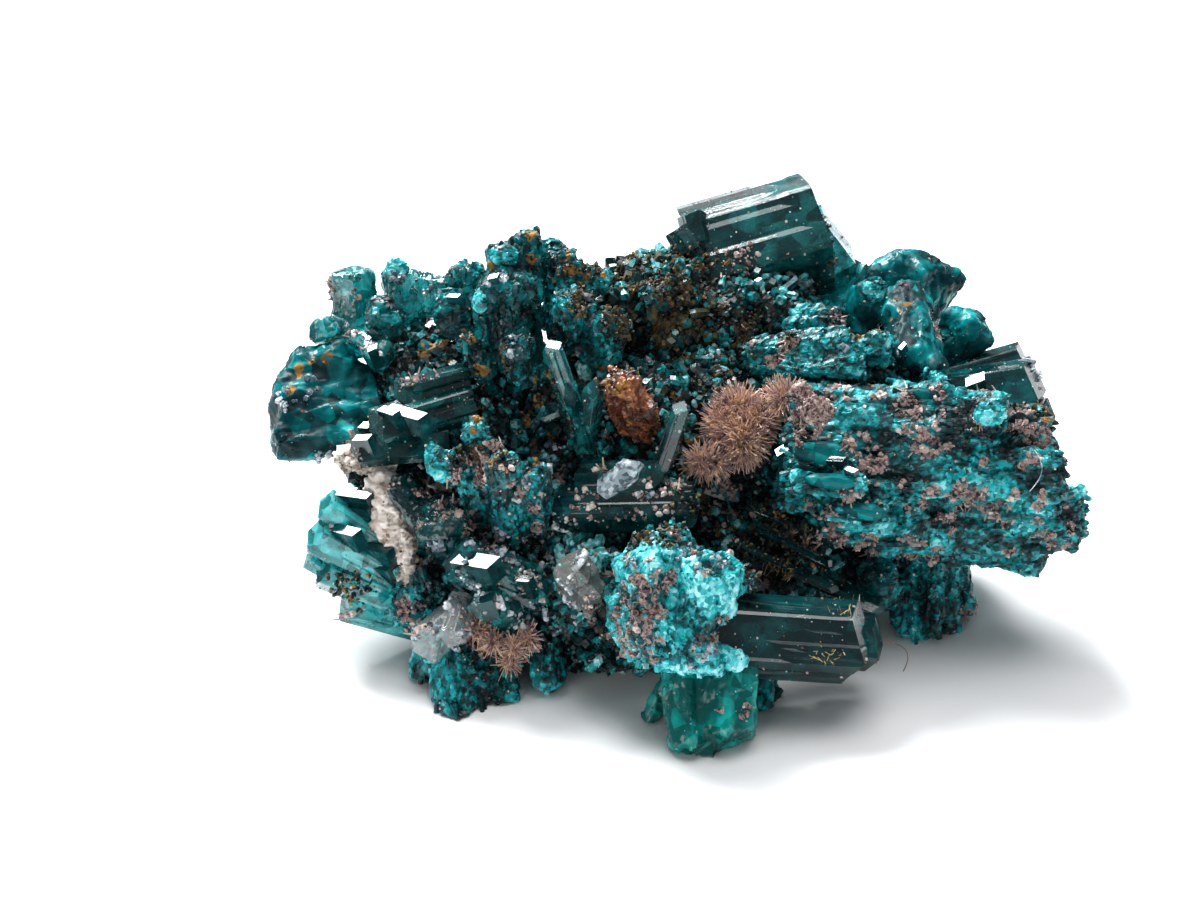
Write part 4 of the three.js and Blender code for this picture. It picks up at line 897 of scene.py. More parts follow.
# %% The tree that roughens a body
def on_the_floor(tree, geometry):
    """Lifts what would reach below the floor up to it."""
    place = out(put(tree, "GeometryNodeInputPosition"))
    return put(tree, "GeometryNodeSetPosition", Geometry=geometry,
               Position=vector_calc(tree, "MAXIMUM", place, (-1, -1, 0)))


STAIN_REACH = 0.14 * MM
roughen, r_in, r_out = new_tree(
    "roughen", "GeometryNodeTree",
    [("Geometry", "NodeSocketGeometry", None), ("Axis", "NodeSocketVector", (1, 0, 0)),
     ("Ridge", "NodeSocketFloat", 0.3 * MM), ("Lump", "NodeSocketFloat", 0.5 * MM),
     ("Chip", "NodeSocketFloat", 0.2 * MM), ("Chip Size", "NodeSocketFloat", 0.8),
     ("Seed", "NodeSocketFloat", 0.0), ("Material", "NodeSocketMaterial", None)]
    + [(f"{stain} points", "NodeSocketObject", None) for stain in STAIN_COLOURS],
    [("Geometry", "NodeSocketGeometry")])
turn_to_axis = put(roughen, "FunctionNodeAlignRotationToVector", {"axis": "Z"},
                   Vector=r_in.outputs["Axis"])
turn_back = put(roughen, "FunctionNodeInvertRotation", Rotation=out(turn_to_axis))
here = out(put(roughen, "GeometryNodeInputPosition"))
own_frame = put(roughen, "FunctionNodeRotateVector", Vector=here, Rotation=out(turn_back))
along_axes = vector_calc(roughen, "SCALE", out(own_frame), scale=PER_MM)
moved = vector_calc(roughen, "ADD", along_axes, r_in.outputs["Seed"])
stretched = vector_calc(roughen, "MULTIPLY", moved, (1, 1, 0.16))
ridge = put(roughen, "ShaderNodeTexNoise", Vector=stretched, Scale=1.3, Detail=2)
lumps = put(roughen, "ShaderNodeTexNoise", Vector=moved, Scale=0.4, Detail=2)
drawn = vector_calc(roughen, "MULTIPLY", moved, (1, 1, 0.55))
drawn = vector_calc(roughen, "DIVIDE", drawn, r_in.outputs["Chip Size"])
large_chips, _ = tilted_cells(roughen, drawn)
small_chips, _ = tilted_cells(roughen, vector_calc(roughen, "SCALE", drawn, scale=2.7))
move_by = calc(roughen, "MULTIPLY", calc(roughen, "SUBTRACT", out(ridge, "Fac"), 0.52),
               r_in.outputs["Ridge"])
lump_by = calc(roughen, "SUBTRACT", out(lumps, "Fac"), 0.55)
move_by = calc(roughen, "MULTIPLY_ADD", lump_by, r_in.outputs["Lump"], move_by)
chip_by = calc(roughen, "MULTIPLY_ADD", small_chips, 0.45, large_chips)
move_by = calc(roughen, "MULTIPLY_ADD", chip_by, r_in.outputs["Chip"], move_by)
normal = out(put(roughen, "GeometryNodeInputNormal"), "Normal")
moved_out = put(roughen, "GeometryNodeSetPosition", Geometry=r_in.outputs["Geometry"],
                Offset=vector_calc(roughen, "SCALE", normal, scale=move_by))
# How deep each point lies in a hollow, 1 in the deepest pits: it darkens the colour there as
# painted shade.
depth = put(roughen, "ShaderNodeMapRange", Value=move_by, From_Min=-0.35 * MM,
            From_Max=0.15 * MM, To_Min=1.0, To_Max=0.0)
moved_out = put(roughen, "GeometryNodeStoreNamedAttribute",
                {"data_type": "FLOAT", "domain": "POINT"},
                Geometry=out(moved_out), Name="hollow", Value=out(depth))
moved_out = on_the_floor(roughen, out(moved_out))
kept = put(roughen, "GeometryNodeStoreNamedAttribute",
           {"data_type": "FLOAT_VECTOR", "domain": "POINT"},
           Geometry=out(moved_out), Name="crystal_place", Value=along_axes)
tone_noise = put(roughen, "ShaderNodeTexNoise", Vector=stretched, Scale=0.7, Detail=2)
tone_value = put(roughen, "ShaderNodeMapRange", Value=out(tone_noise, "Fac"), From_Min=0.3,
                 From_Max=0.7)
kept = put(roughen, "GeometryNodeStoreNamedAttribute", {"data_type": "FLOAT", "domain": "POINT"},
           Geometry=out(kept), Name="tone", Value=out(tone_value))
for stain in STAIN_COLOURS:
    spots = put(roughen, "GeometryNodeObjectInfo", Object=r_in.outputs[f"{stain} points"])
    nearest = put(roughen, "GeometryNodeProximity", {"target_element": "POINTS"})
    roughen.links.new(spots.outputs["Geometry"], nearest.inputs[0])
    inside = put(roughen, "ShaderNodeMapRange", Value=out(nearest, "Distance"),
                 From_Min=STAIN_REACH, From_Max=3 * STAIN_REACH, To_Min=1.0, To_Max=0.0)
    kept = put(roughen, "GeometryNodeStoreNamedAttribute",
               {"data_type": "FLOAT", "domain": "POINT"},
               Geometry=out(kept), Name=stain, Value=out(inside))
dressed = put(roughen, "GeometryNodeSetMaterial", Geometry=out(kept),
              Material=r_in.outputs["Material"])
roughen.links.new(out(dressed), r_out.inputs["Geometry"])


# %% Run a tree and keep its result as a plain mesh
def run_tree(name, carrier, tree, values):
    """The mesh that the tree makes from the carrier object, as a new object."""
    modifier = carrier.modifiers.new("make", "NODES")
    modifier.node_group = tree
    for item in tree.interface.items_tree:
        if item.item_type == "SOCKET" and item.in_out == "INPUT" and item.name in values:
            modifier[item.identifier] = values[item.name]
    mesh = made_by(carrier)
    carrier.modifiers.remove(modifier)
    mesh.name = name
    return placed(name, mesh)


def skin_of(node, voxel, passes):
    """A copy of a node's solid, remade with even faces, its edges rounded by smoothing."""
    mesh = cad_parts[node].data.copy()
    merged = bmesh.new()
    merged.from_mesh(mesh)
    bmesh.ops.remove_doubles(merged, verts=merged.verts, dist=1e-6)
    merged.to_mesh(mesh)
    merged.free()
    copy = placed(node + "_skin", mesh)
    remesh = copy.modifiers.new("even", "REMESH")
    remesh.mode, remesh.voxel_size = "VOXEL", voxel
    rounded = copy.modifiers.new("rounded", "SMOOTH")
    rounded.factor, rounded.iterations = 0.5, passes
    depsgraph = bpy.context.evaluated_depsgraph_get()
    even = bpy.data.meshes.new_from_object(copy.evaluated_get(depsgraph))
    copy.modifiers.clear()
    copy.data = even
    even.materials.clear()
    return copy


# %% The rough bodies
rough_bodies = {
    # node: material, axis in the front view, ridge, lump, chip, chip size, voxel (mm),
    # smoothing passes
    "right_bundle": ("rough_dioptase", (1, -0.08, 0), 1.0, 1.5, 0.5, 1.0, 0.13, 50),
    "turquoise_cluster": ("bright_turquoise", (-0.1, 1, 0.4), 0.4, 1.5, 0.4, 0.7, 0.12, 80),
    "dome_cluster": ("veiled_dioptase", (0, 1, -0.3), 0.3, 1.2, 0.35, 1.3, 0.13, 120),
    "right_knob": ("veiled_dioptase", (0.8, 0.5, 0.4), 0.2, 0.8, 0.3, 1.1, 0.11, 120),
    "upper_right_cluster": ("rough_dioptase", (1, 0.1, 0.3), 0.6, 0.9, 0.5, 0.8, 0.13, 30),
    "lower_right_block": ("rough_dioptase", (0, 1, 0), 0.5, 1.0, 0.6, 1.2, 0.14, 40),
    "bottom_left_cluster": ("rough_dioptase", (0, 1, -0.3), 0.5, 1.3, 0.5, 1.1, 0.13, 80),
    "left_crystal": ("veiled_dioptase", (1, 0.1, -0.2), 0.15, 1.4, 0.3, 1.4, 0.13, 120),
    "upper_left_cluster": ("glowing_dioptase", (0, 1, 0.1), 0.25, 0.6, 0.3, 1.2, 0.11, 50),
    "upper_left_knobs": ("glowing_dioptase", (0, 1, 0.1), 0.3, 1.3, 0.4, 1.0, 0.11, 120),
    "upper_middle_cluster": ("dark_dioptase", (0, 1, 0.2), 0.4, 1.6, 0.5, 0.9, 0.12, 120),
    "upper_middle_shoulder": ("rough_dioptase", (0, 1, 0.2), 0.8, 0.8, 0.5, 0.7, 0.12, 60),
    "foot_prism": ("green_dioptase", (0, 1, -0.15), 0.3, 0.8, 0.3, 1.3, 0.11, 20),
    "foot_side_crystal": ("dark_dioptase", (0.3, 1, 0), 0.3, 0.4, 0.3, 0.8, 0.1, 20),
    "centre_columns": ("rough_dioptase", (0, 1, 0.9), 0.7, 0.7, 0.4, 0.7, 0.12, 30),
    "centre_block": ("teal_dioptase", (-0.5, 1, 0.8), 0.3, 0.5, 0.35, 0.9, 0.11, 20),
    "lower_druse": ("rough_dioptase", (0, 1, 0.5), 0.6, 0.8, 0.5, 0.7, 0.12, 20),
    "back_right_cluster": ("rough_dioptase", (0.5, 0.5, -0.8), 0.8, 0.8, 0.5, 0.9, 0.15, 20),
    "back_right_lower": ("rough_dioptase", (0.7, 0, -0.7), 0.8, 0.8, 0.5, 0.9, 0.15, 20),
    "pink_lump": ("pink_crust", (0, 0, 1), 0.2, 0.5, 0.4, 0.35, 0.08, 20),
    "rust_crystal": ("rust_mineral", (-0.3, 1, 0.9), 0.4, 0.4, 0.5, 0.8, 0.09, 20),
    "matrix": ("rock", (0.2, 1, 0.1), 0.8, 1.6, 0.9, 1.0, 0.19, 10),
}
SMOOTH = ("veiled_dioptase", "teal_dioptase", "green_dioptase", "glowing_dioptase",
          "cream_rock")
stain_inputs = {f"{stain} points": points_of[stain] for stain in STAIN_COLOURS}
body_pieces = {}
for seed, (node, settings) in enumerate(rough_bodies.items(), 1):
    material_name, axis, ridge_mm, lump_mm, chip_mm, chip_size, voxel_mm, passes = settings
    skin = skin_of(node, voxel_mm * MM, passes)
    piece = run_tree(node + "_body", skin, roughen, {
        "Axis": front_direction(*axis), "Ridge": ridge_mm * MM, "Lump": lump_mm * MM,
        "Chip": chip_mm * MM, "Chip Size": chip_size, "Seed": seed * 11.7,
        "Material": minerals[material_name], **stain_inputs})
    bpy.data.objects.remove(skin)
    if material_name in SMOOTH:
        piece.data.shade_smooth()
    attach(piece, "root")
    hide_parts(node)
    body_pieces[node] = piece
print("bodies:", {n: len(p.data.polygons) for n, p in body_pieces.items()})

# %% [markdown]
# ## Lumps between the crystals
# The pale host rock shows on the left, smooth lens-shaped crystals lie in the rough bundle,
# bright balls stand out here and there, and dark crust fills the gaps. Each is a ball pressed
# to its shape where a line of sight meets the skins, grown together and roughened.

# %% What a line of sight meets
def all_together(name, pieces):
    """One mesh of several pieces, to scatter on or to look at. It is removed at the end."""
    joined = bmesh.new()
    for piece in pieces:
        joined.from_mesh(piece.data)
    mesh = bpy.data.meshes.new(name)
    joined.to_mesh(mesh)
    joined.free()
    return placed(name, mesh)


def what_is_met(carrier):
    """A search tree over the faces of an object."""
    return BVHTree.FromObject(carrier, bpy.context.evaluated_depsgraph_get())


def met_at(tree, x, y):
    """Where the line of sight through a place in the front view meets the faces."""
    return tree.ray_cast(camera.location, (seen(x, y, 0) - camera.location).normalized())[0]


first_skins = all_together("first_skins", [*body_pieces.values(), *clear_pieces.values()])
skins_met = what_is_met(first_skins)
print("faces to look at:", len(first_skins.data.polygons))


# %% A pressed ball
def dome(name, middle, sizes, turn=0):
    """A ball pressed to three sizes in the front view, and turned about the line of sight."""
    ball = bmesh.new()
    bmesh.ops.create_icosphere(ball, subdivisions=3, radius=1.0)
    side = math.radians(turn)
    axes = [front_direction(math.cos(side), math.sin(side), 0),
            front_direction(-math.sin(side), math.cos(side), 0), front_direction(0, 0, 1)]
    for corner in ball.verts:
        place = sum((axis * size * MM * part for axis, size, part in
                     zip(axes, sizes, corner.co[:])), Vector())
        corner.co = middle + place
    points = [v.co[:] for v in ball.verts]
    faces = [[v.index for v in f.verts] for f in ball.faces]
    ball.free()
    return mesh_from(name, points, faces)


# %% The lumps
lumps_between = {
    # name: material, slot, ridge, lump, chip, chip size (mm), and the balls:
    # x, y, z (None where a line of sight places it), three half sizes, turn
    "cream_wedge": ("cream_rock", "rock", 0.3, 1.2, 0.5, 0.6, [
        (-16.8, -3.6, 1.6, (1.4, 3.2, 1.4), 14), (-18.6, -0.4, 0.2, (2.0, 0.9, 1.2), -10),
        (-15.8, -7.0, 1.4, (0.6, 1.1, 0.7), -10)]),
    "smooth_lenses": ("veiled_dioptase", "rough_dioptase", 0.1, 0.3, 0.15, 1.4, [
        (9.4, -0.1, None, (2.2, 0.9, 0.6), -10), (9.8, -1.6, None, (1.8, 0.55, 0.6), -6),
        (11.6, -3.4, None, (1.4, 0.5, 0.5), -8), (15.4, 3.5, None, (1.3, 0.6, 0.5), -10)]),
    "bright_balls": ("bright_turquoise", "rough_dioptase", 0.2, 0.7, 0.4, 0.6, [
        (19.2, 2.6, None, (1.0, 0.8, 0.6), 0), (15.9, 4.8, None, (0.8, 0.5, 0.5), -30),
        (-14.2, -0.4, None, (0.8, 1.3, 0.6), 20), (-10.2, 12.0, None, (1.0, 0.7, 0.8), 0),
        (-6.5, 9.3, None, (0.6, 0.5, 0.5), 0), (-16.6, 11.2, None, (0.8, 0.7, 0.6), 0),
        (12.2, 10.0, None, (0.9, 0.9, 0.6), 0), (-11.6, 9.4, None, (0.5, 0.7, 0.5), 0)]),
    "dark_filling": ("dark_dioptase", "deep_dioptase", 0.3, 0.8, 0.4, 0.9, [
        (-17.6, 8.2, -1.6, (1.3, 1.7, 1.2), 0), (-7.3, 11.2, -3.0, (1.7, 2.2, 1.5), 0),
        (-13.0, 8.6, -1.0, (1.6, 1.6, 1.2), 0), (12.2, -7.8, 0.2, (1.5, 1.6, 1.3), 0)]),
}
LUMP_VOXEL = 0.11 * MM
anywhere = mesh_from("anywhere", [(0, 0, 0)], [])
unstained = {name: anywhere for name in stain_inputs}
for seed, (name, settings) in enumerate(lumps_between.items(), 1):
    material_name, slot, ridge_mm, lump_mm, chip_mm, chip_size, balls = settings
    forms = []
    for x, y, z, sizes, turn in balls:
        middle = seen(x, y, z) if z is not None else met_at(skins_met, x, y)
        forms.append(dome(name + "_form", middle, sizes, turn))
    form = grown_together(name + "_form", forms, None)
    even = form.modifiers.new("even", "REMESH")
    even.mode, even.voxel_size = "VOXEL", LUMP_VOXEL
    piece = run_tree(name, form, roughen, {
        "Axis": front_direction(1, -0.1, 0), "Ridge": ridge_mm * MM, "Lump": lump_mm * MM,
        "Chip": chip_mm * MM, "Chip Size": chip_size, "Seed": seed * 5.0,
        "Material": minerals[material_name], **unstained})
    bpy.data.objects.remove(form)
    if material_name in SMOOTH:
        piece.data.shade_smooth()
    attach(piece, "root")
    body_pieces[name] = piece
print("lumps between:", {n: len(body_pieces[n].data.polygons) for n in lumps_between})

# %% [markdown]
# ## Small crystals, grains and needles
# Everything is overgrown by small crystals and grains, a few tenths of a millimetre wide.
# They are too many to place by hand, so a tree scatters them over the skins: it picks
# places, leans each one between the skin's normal and the axis of the big crystal below, and
# gives each its own size, turn and tone.

# %% Shapes that are scattered
def small_crystal():
    """A six-sided prism with three end faces, 1 long and 0.5 wide."""
    angle = np.arange(6) * math.pi / 3
    fall = np.where(np.arange(6) % 2 == 0, 1.0, 0.5) * 0.25 * 0.9
    ring = np.stack([np.cos(angle) * 0.25, np.sin(angle) * 0.25, np.zeros(6)], 1)
    high = ring + np.stack([np.zeros(6), np.zeros(6), 0.5 - fall], 1)
    points = np.concatenate([ring - [0, 0, 0.5], high, [[0, 0, 0.5]]])
    faces = [(i, (i + 1) % 6, 6 + (i + 1) % 6, 6 + i) for i in range(6)]
    faces += [(6, 7, 12), (7, 8, 12), (8, 9, 12), (9, 10, 12), (10, 11, 12), (11, 6, 12)]
    return mesh_from("small_crystal", points, faces + [(5, 4, 3, 2, 1, 0)], points * 4)


def small_grain():
    """A chipped grain: an icosahedron with its corners moved."""
    ball = bmesh.new()
    bmesh.ops.create_icosphere(ball, subdivisions=1, radius=0.5)
    chance = random.Random(3)
    points = np.array([v.co[:] for v in ball.verts])
    points *= np.array([[chance.uniform(0.7, 1.15)] for _ in points])
    faces = [tuple(v.index for v in f.verts) for f in ball.faces]
    ball.free()
    return mesh_from("small_grain", points, faces, points * 3)


def small_needle():
    """A thin tapered needle, 1 long."""
    angle = np.arange(4) * math.pi / 2
    low = np.stack([np.cos(angle) * 0.07, np.sin(angle) * 0.07, np.full(4, -0.1)], 1)
    high = np.stack([np.cos(angle) * 0.05, np.sin(angle) * 0.05, np.full(4, 0.9)], 1)
    points = np.concatenate([low, high, [[0, 0, 1.0]]])
    faces = [(i, (i + 1) % 4, 4 + (i + 1) % 4, 4 + i) for i in range(4)]
    faces += [(4 + i, 4 + (i + 1) % 4, 8) for i in range(4)] + [(3, 2, 1, 0)]
    return mesh_from("small_needle", points, faces, points * 3)


shapes = {"crystal": small_crystal(), "grain": small_grain(), "needle": small_needle()}

# %% The tree that scatters them
FULL_TURN = 6.283
overgrow, o_in, o_out = new_tree(
    "overgrow", "GeometryNodeTree",
    [("Geometry", "NodeSocketGeometry", None), ("Shape", "NodeSocketObject", None),
     ("Per Square Millimetre", "NodeSocketFloat", 2.0), ("Patchiness", "NodeSocketFloat", 0.0),
     ("Patch Size", "NodeSocketFloat", 2.0), ("Places", "NodeSocketObject", None),
     ("Near", "NodeSocketFloat", 1.0), ("Smallest", "NodeSocketFloat", 0.2 * MM),
     ("Largest", "NodeSocketFloat", 0.6 * MM), ("Stretch", "NodeSocketFloat", 1.5),
     ("Axis", "NodeSocketVector", (0, 0, 1)), ("Lean", "NodeSocketFloat", 0.0),
     ("Scatter", "NodeSocketFloat", 0.5), ("Sink", "NodeSocketFloat", 0.0),
     ("Seed", "NodeSocketInt", 1), ("Material", "NodeSocketMaterial", None)],
    [("Geometry", "NodeSocketGeometry")])
where_mm = vector_calc(overgrow, "SCALE", out(put(overgrow, "GeometryNodeInputPosition")),
                       scale=PER_MM)
in_patches = vector_calc(overgrow, "DIVIDE", where_mm, o_in.outputs["Patch Size"])
patch_noise = put(overgrow, "ShaderNodeTexNoise", Vector=in_patches, Scale=1.0, Detail=2)
inside = calc(overgrow, "GREATER_THAN", out(patch_noise, "Fac"), o_in.outputs["Patchiness"])
centres = put(overgrow, "GeometryNodeObjectInfo", Object=o_in.outputs["Places"])
nearest = put(overgrow, "GeometryNodeProximity", {"target_element": "POINTS"})
overgrow.links.new(centres.outputs["Geometry"], nearest.inputs[0])
close = calc(overgrow, "LESS_THAN", out(nearest, "Distance"), o_in.outputs["Near"])
density = calc(overgrow, "MULTIPLY", o_in.outputs["Per Square Millimetre"], PER_MM ** 2)
density = calc(overgrow, "MULTIPLY", density, calc(overgrow, "MULTIPLY", inside, close))
spots = put(overgrow, "GeometryNodeDistributePointsOnFaces", {"distribute_method": "RANDOM"},
            Mesh=o_in.outputs["Geometry"], Density=density, Seed=o_in.outputs["Seed"])
tilt = put(overgrow, "FunctionNodeRandomValue", {"data_type": "FLOAT_VECTOR"},
           Min=(-1, -1, -1), Max=(1, 1, 1), Seed=o_in.outputs["Seed"])
tilt_by = vector_calc(overgrow, "SCALE", out(tilt), scale=o_in.outputs["Scatter"])
along_axis = vector_calc(overgrow, "SCALE", o_in.outputs["Axis"], scale=o_in.outputs["Lean"])
upright = calc(overgrow, "SUBTRACT", 1.0, o_in.outputs["Lean"])
along_normal = vector_calc(overgrow, "SCALE", out(spots, "Normal"), scale=upright)
leaning = vector_calc(overgrow, "ADD", along_axis, along_normal)
aim = vector_calc(overgrow, "ADD", leaning, tilt_by)
aimed = put(overgrow, "FunctionNodeAlignRotationToVector", {"axis": "Z"}, Vector=aim)
spin_by = put(overgrow, "FunctionNodeRandomValue", {"data_type": "FLOAT"}, Min=0.0, Max=FULL_TURN)
spin = put(overgrow, "FunctionNodeAxisAngleToRotation", Axis=(0, 0, 1), Angle=out(spin_by))
turned = put(overgrow, "FunctionNodeRotateRotation", {"rotation_space": "LOCAL"},
             Rotation=out(aimed), Rotate_By=out(spin))
pick = put(overgrow, "FunctionNodeRandomValue", {"data_type": "FLOAT"}, Min=0.0, Max=1.0)
pick = calc(overgrow, "POWER", out(pick), 2.0)
spread = calc(overgrow, "SUBTRACT", o_in.outputs["Largest"], o_in.outputs["Smallest"])
size = calc(overgrow, "MULTIPLY_ADD", pick, spread, o_in.outputs["Smallest"])
long_by = put(overgrow, "FunctionNodeRandomValue", {"data_type": "FLOAT"}, Min=0.6, Max=1.4)
long_by = calc(overgrow, "MULTIPLY", out(long_by), o_in.outputs["Stretch"])
size_vector = put(overgrow, "ShaderNodeCombineXYZ", X=size, Y=size)
overgrow.links.new(calc(overgrow, "MULTIPLY", size, long_by), size_vector.inputs["Z"])
shape = put(overgrow, "GeometryNodeObjectInfo", Object=o_in.outputs["Shape"])
sink = calc(overgrow, "MULTIPLY", o_in.outputs["Sink"], -1.0)
sunk = put(overgrow, "GeometryNodeSetPosition", Geometry=out(spots, "Points"),
           Offset=vector_calc(overgrow, "SCALE", out(spots, "Normal"), scale=sink))
grown = put(overgrow, "GeometryNodeInstanceOnPoints", Points=out(sunk),
            Instance=out(shape, "Geometry"), Rotation=out(turned), Scale=out(size_vector))
own_tone = put(overgrow, "FunctionNodeRandomValue", {"data_type": "FLOAT"}, Min=0.0, Max=1.0,
               Seed=7)
toned = put(overgrow, "GeometryNodeStoreNamedAttribute",
            {"data_type": "FLOAT", "domain": "INSTANCE"},
            Geometry=out(grown), Name="tone", Value=out(own_tone))
real = put(overgrow, "GeometryNodeRealizeInstances", Geometry=out(toned))
real = on_the_floor(overgrow, out(real))
painted = put(overgrow, "GeometryNodeSetMaterial", Geometry=out(real),
              Material=o_in.outputs["Material"])
overgrow.links.new(out(painted), o_out.inputs["Geometry"])
print("scatters:", list(shapes))


# %% A cover of small crystals on each skin
def cover(name, carrier, shape, material_name, settings):
    """Small shapes scattered over a carrier, as one piece."""
    values = {"Shape": shapes[shape], "Places": anywhere, "Near": 1.0, "Sink": 0.0,
              "Patchiness": 0.0, "Lean": 0.0, "Material": minerals[material_name], **settings}
    piece = run_tree(name, carrier, overgrow, values)
    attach(piece, "root")
    return piece


# material: per mm2, largest (mm), stretch
COVERED = {"rough_dioptase": (3.0, 0.8, 1.15), "bright_turquoise": (2.4, 0.9, 0.9),
           "dark_dioptase": (1.4, 1.0, 1.0)}
covers = []
for seed, (node, settings) in enumerate(rough_bodies.items(), 1):
    if settings[0] in COVERED:
        per_mm2, largest, stretch = COVERED[settings[0]]
        covers.append(cover(
            node + "_cover", body_pieces[node], "crystal", settings[0],
            {"Per Square Millimetre": per_mm2, "Smallest": 0.25 * MM, "Largest": largest * MM,
             "Stretch": stretch, "Axis": front_direction(*settings[1]), "Lean": 0.85,
             "Scatter": 0.25, "Sink": 0.2 * MM, "Patchiness": 0.46, "Patch Size": 1.3,
             "Seed": seed}))
# the rock's own crystals, in two sizes: per mm2, smallest and largest (mm)
for seed, (name, settings) in enumerate({"matrix_druse_large": (1.4, 0.9, 1.5),
                                         "matrix_druse_small": (2.4, 0.5, 0.9)}.items(), 71):
    per_mm2, smallest, largest = settings
    covers.append(cover(
        name, body_pieces["matrix"], "crystal", "dark_druse",
        {"Per Square Millimetre": per_mm2, "Smallest": smallest * MM, "Largest": largest * MM,
         "Stretch": 1.0, "Scatter": 0.7, "Sink": 0.1 * MM, "Seed": seed}))
print("covers:", {p.name: len(p.data.polygons) for p in covers})

# %% [markdown]
# ## Crusts of grains
# A crust is a heap of grains. They are scattered where the patch points lie, over the skins
# and the clear crystals together, so a crust runs on from one crystal to the next.

# %% The crusts
surface = all_together("surface", [*body_pieces.values(), *clear_pieces.values()])
surface_met = what_is_met(surface)
crusts = {
    # name: places, shape, material, slot, per mm2, smallest, largest, stretch, scatter, near
    "pink_grains": ("pink", "grain", "pink_crust", "pink_crust", 17, 0.1, 0.5, 1.0, 1.0, 0.3),
    "pink_tufts": ("pink", "needle", "pink_needles", "pink_crust", 7, 0.4, 0.9, 0.6, 0.6, 0.24),
    "ochre_grains": ("ochre", "grain", "ochre_crust", "rust_mineral", 10, 0.1, 0.35, 1.0, 1.0,
                     0.2),
    "cream_grains": ("cream", "grain", "pink_crust", "rock", 4, 0.1, 0.3, 1.0, 1.0, 0.36),
    "olive_grains": ("olive", "grain", "olive_crust", "rock", 12, 0.1, 0.35, 1.0, 1.0, 0.6),
    "olive_crystals": ("olive", "crystal", "olive_crust", "rock", 9, 0.2, 0.6, 1.3, 0.8, 0.6),
    # Nearly white small crystals at the glint spots: painted highlight.
    "white_facets": ("sparkle", "crystal", "white_sparkle", "clear_crystal", 12, 0.3, 0.8, 0.8,
                     0.8, 0.3),
    "gold_hairs": ("gold", "needle", "gold_needles", "rust_mineral", 30, 0.2, 0.4, 1.5, 0.7,
                   0.3),
    "dust": (None, "grain", "bright_turquoise", "rough_dioptase", 0.42, 0.07, 0.18, 1.0, 1.0,
             900),
    "pale_dust": (None, "grain", "pink_crust", "pink_crust", 0.6, 0.06, 0.22, 1.0, 1.0, 900),
    "ochre_dust": (None, "grain", "ochre_crust", "rust_mineral", 0.16, 0.08, 0.2, 1.0, 1.0, 900),
}
points_of[None] = anywhere
for seed, (name, settings) in enumerate(crusts.items(), 201):
    places, shape_name, material_name, slot = settings[:4]
    per_mm2, small, large, stretch, scatter, near = settings[4:]
    covers.append(cover(name, surface, shape_name, material_name, {
        "Places": points_of[places], "Near": near * MM, "Per Square Millimetre": per_mm2,
        "Smallest": small * MM, "Largest": large * MM, "Stretch": stretch, "Scatter": scatter,
        "Seed": seed}))
print("crusts:", {p.name: len(p.data.polygons) for p in covers[-len(crusts):]})

# %% [markdown]
# ## Faces that mirror the window
# A few flat faces look half way between the viewer and the window, and flash white. They
# are ends of small prisms with a perfect cleavage. Each stands on the surface at its place,
# with its axis turned to that direction.

# %% The mirror faces
# x, y, half length, width share, turn in degrees
mirror_faces = [
    (-17.0, 2.3, 0.62, 0.42, -36), (-15.9, 2.0, 1.35, 0.26, -34), (-18.4, 1.5, 0.34, 0.8, -20),
    (-18.6, 0.7, 0.5, 0.5, -12), (18.4, 4.2, 0.62, 0.6, 15), (10.0, -0.6, 0.5, 0.4, -20),
    (10.9, -1.2, 0.35, 0.5, -40), (-11.7, -6.9, 1.25, 0.42, -25), (-8.8, -7.8, 0.4, 0.6, -20),
    (-19.2, -2.9, 1.35, 0.22, -24), (-18.9, -3.6, 0.9, 0.16, -24), (-19.8, -5.0, 1.2, 0.28, -30),
    (-17.8, -6.1, 1.1, 0.28, -28), (-8.3, 8.8, 0.7, 0.2, -75), (-10.7, 10.5, 0.3, 0.7, 0),
    (-18.0, 6.2, 0.3, 0.8, 20), (-13.1, 9.3, 0.4, 0.4, -20), (0.3, 6.8, 0.36, 0.8, 40),
    (6.8, 0.0, 0.5, 0.6, 30), (-11.1, -9.0, 0.45, 0.7, 10), (-6.2, 5.6, 0.8, 0.2, -70),
    (-17.4, -7.2, 0.5, 0.3, -25), (14.0, 6.3, 0.3, 0.5, 50), (-9.6, -9.2, 0.36, 0.6, -30)]
FACE_DEPTH, FACE_SHEAR = 1.5 * MM, 0.35


def mirror_bar(middle, half, share, turn, seed):
    """A four-sided block, sheared as a cleavage piece is, whose top mirrors the window."""
    right = front_direction(1, 0, 0)
    level = (right - mirror_look * mirror_look.dot(right)).normalized()
    along = Matrix.Rotation(math.radians(turn), 3, mirror_look) @ level
    aside = mirror_look.cross(along)
    points, own = [], []
    for depth in (FACE_DEPTH, 0.0):
        for side in (-1, 1):
            for end in (-1, 1):
                x, y = end + side * FACE_SHEAR * share, side * share
                points.append(middle + (along * x + aside * y) * half * MM - mirror_look * depth)
                own.append((y * half + seed, 0.0, x * half))
    return mesh_from("mirror_bar", np.array(points), BOX_FACES, np.array(own), 0.5)


bars = []
for seed, (x, y, half, share, turn) in enumerate(mirror_faces):
    raised = (0.3 + 0.4 * half) * MM
    middle = met_at(surface_met, x, y) + mirror_look * raised
    bars.append(mirror_bar(middle, half, share, turn, seed))
faces_piece = grown_together("mirror_faces", bars, minerals["mirror_dioptase"])
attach(faces_piece, "root")
print("mirror faces:", len(mirror_faces))

# %% [markdown]
# ## Sprays of pink needles
# In the hollow beside the rough bundle a tuft of pink needles opens like a brush, and a few
# smaller stars lie at the lower left. The needles stand on a small dome and follow its
# normals, which is how such sprays grow: all from one point.

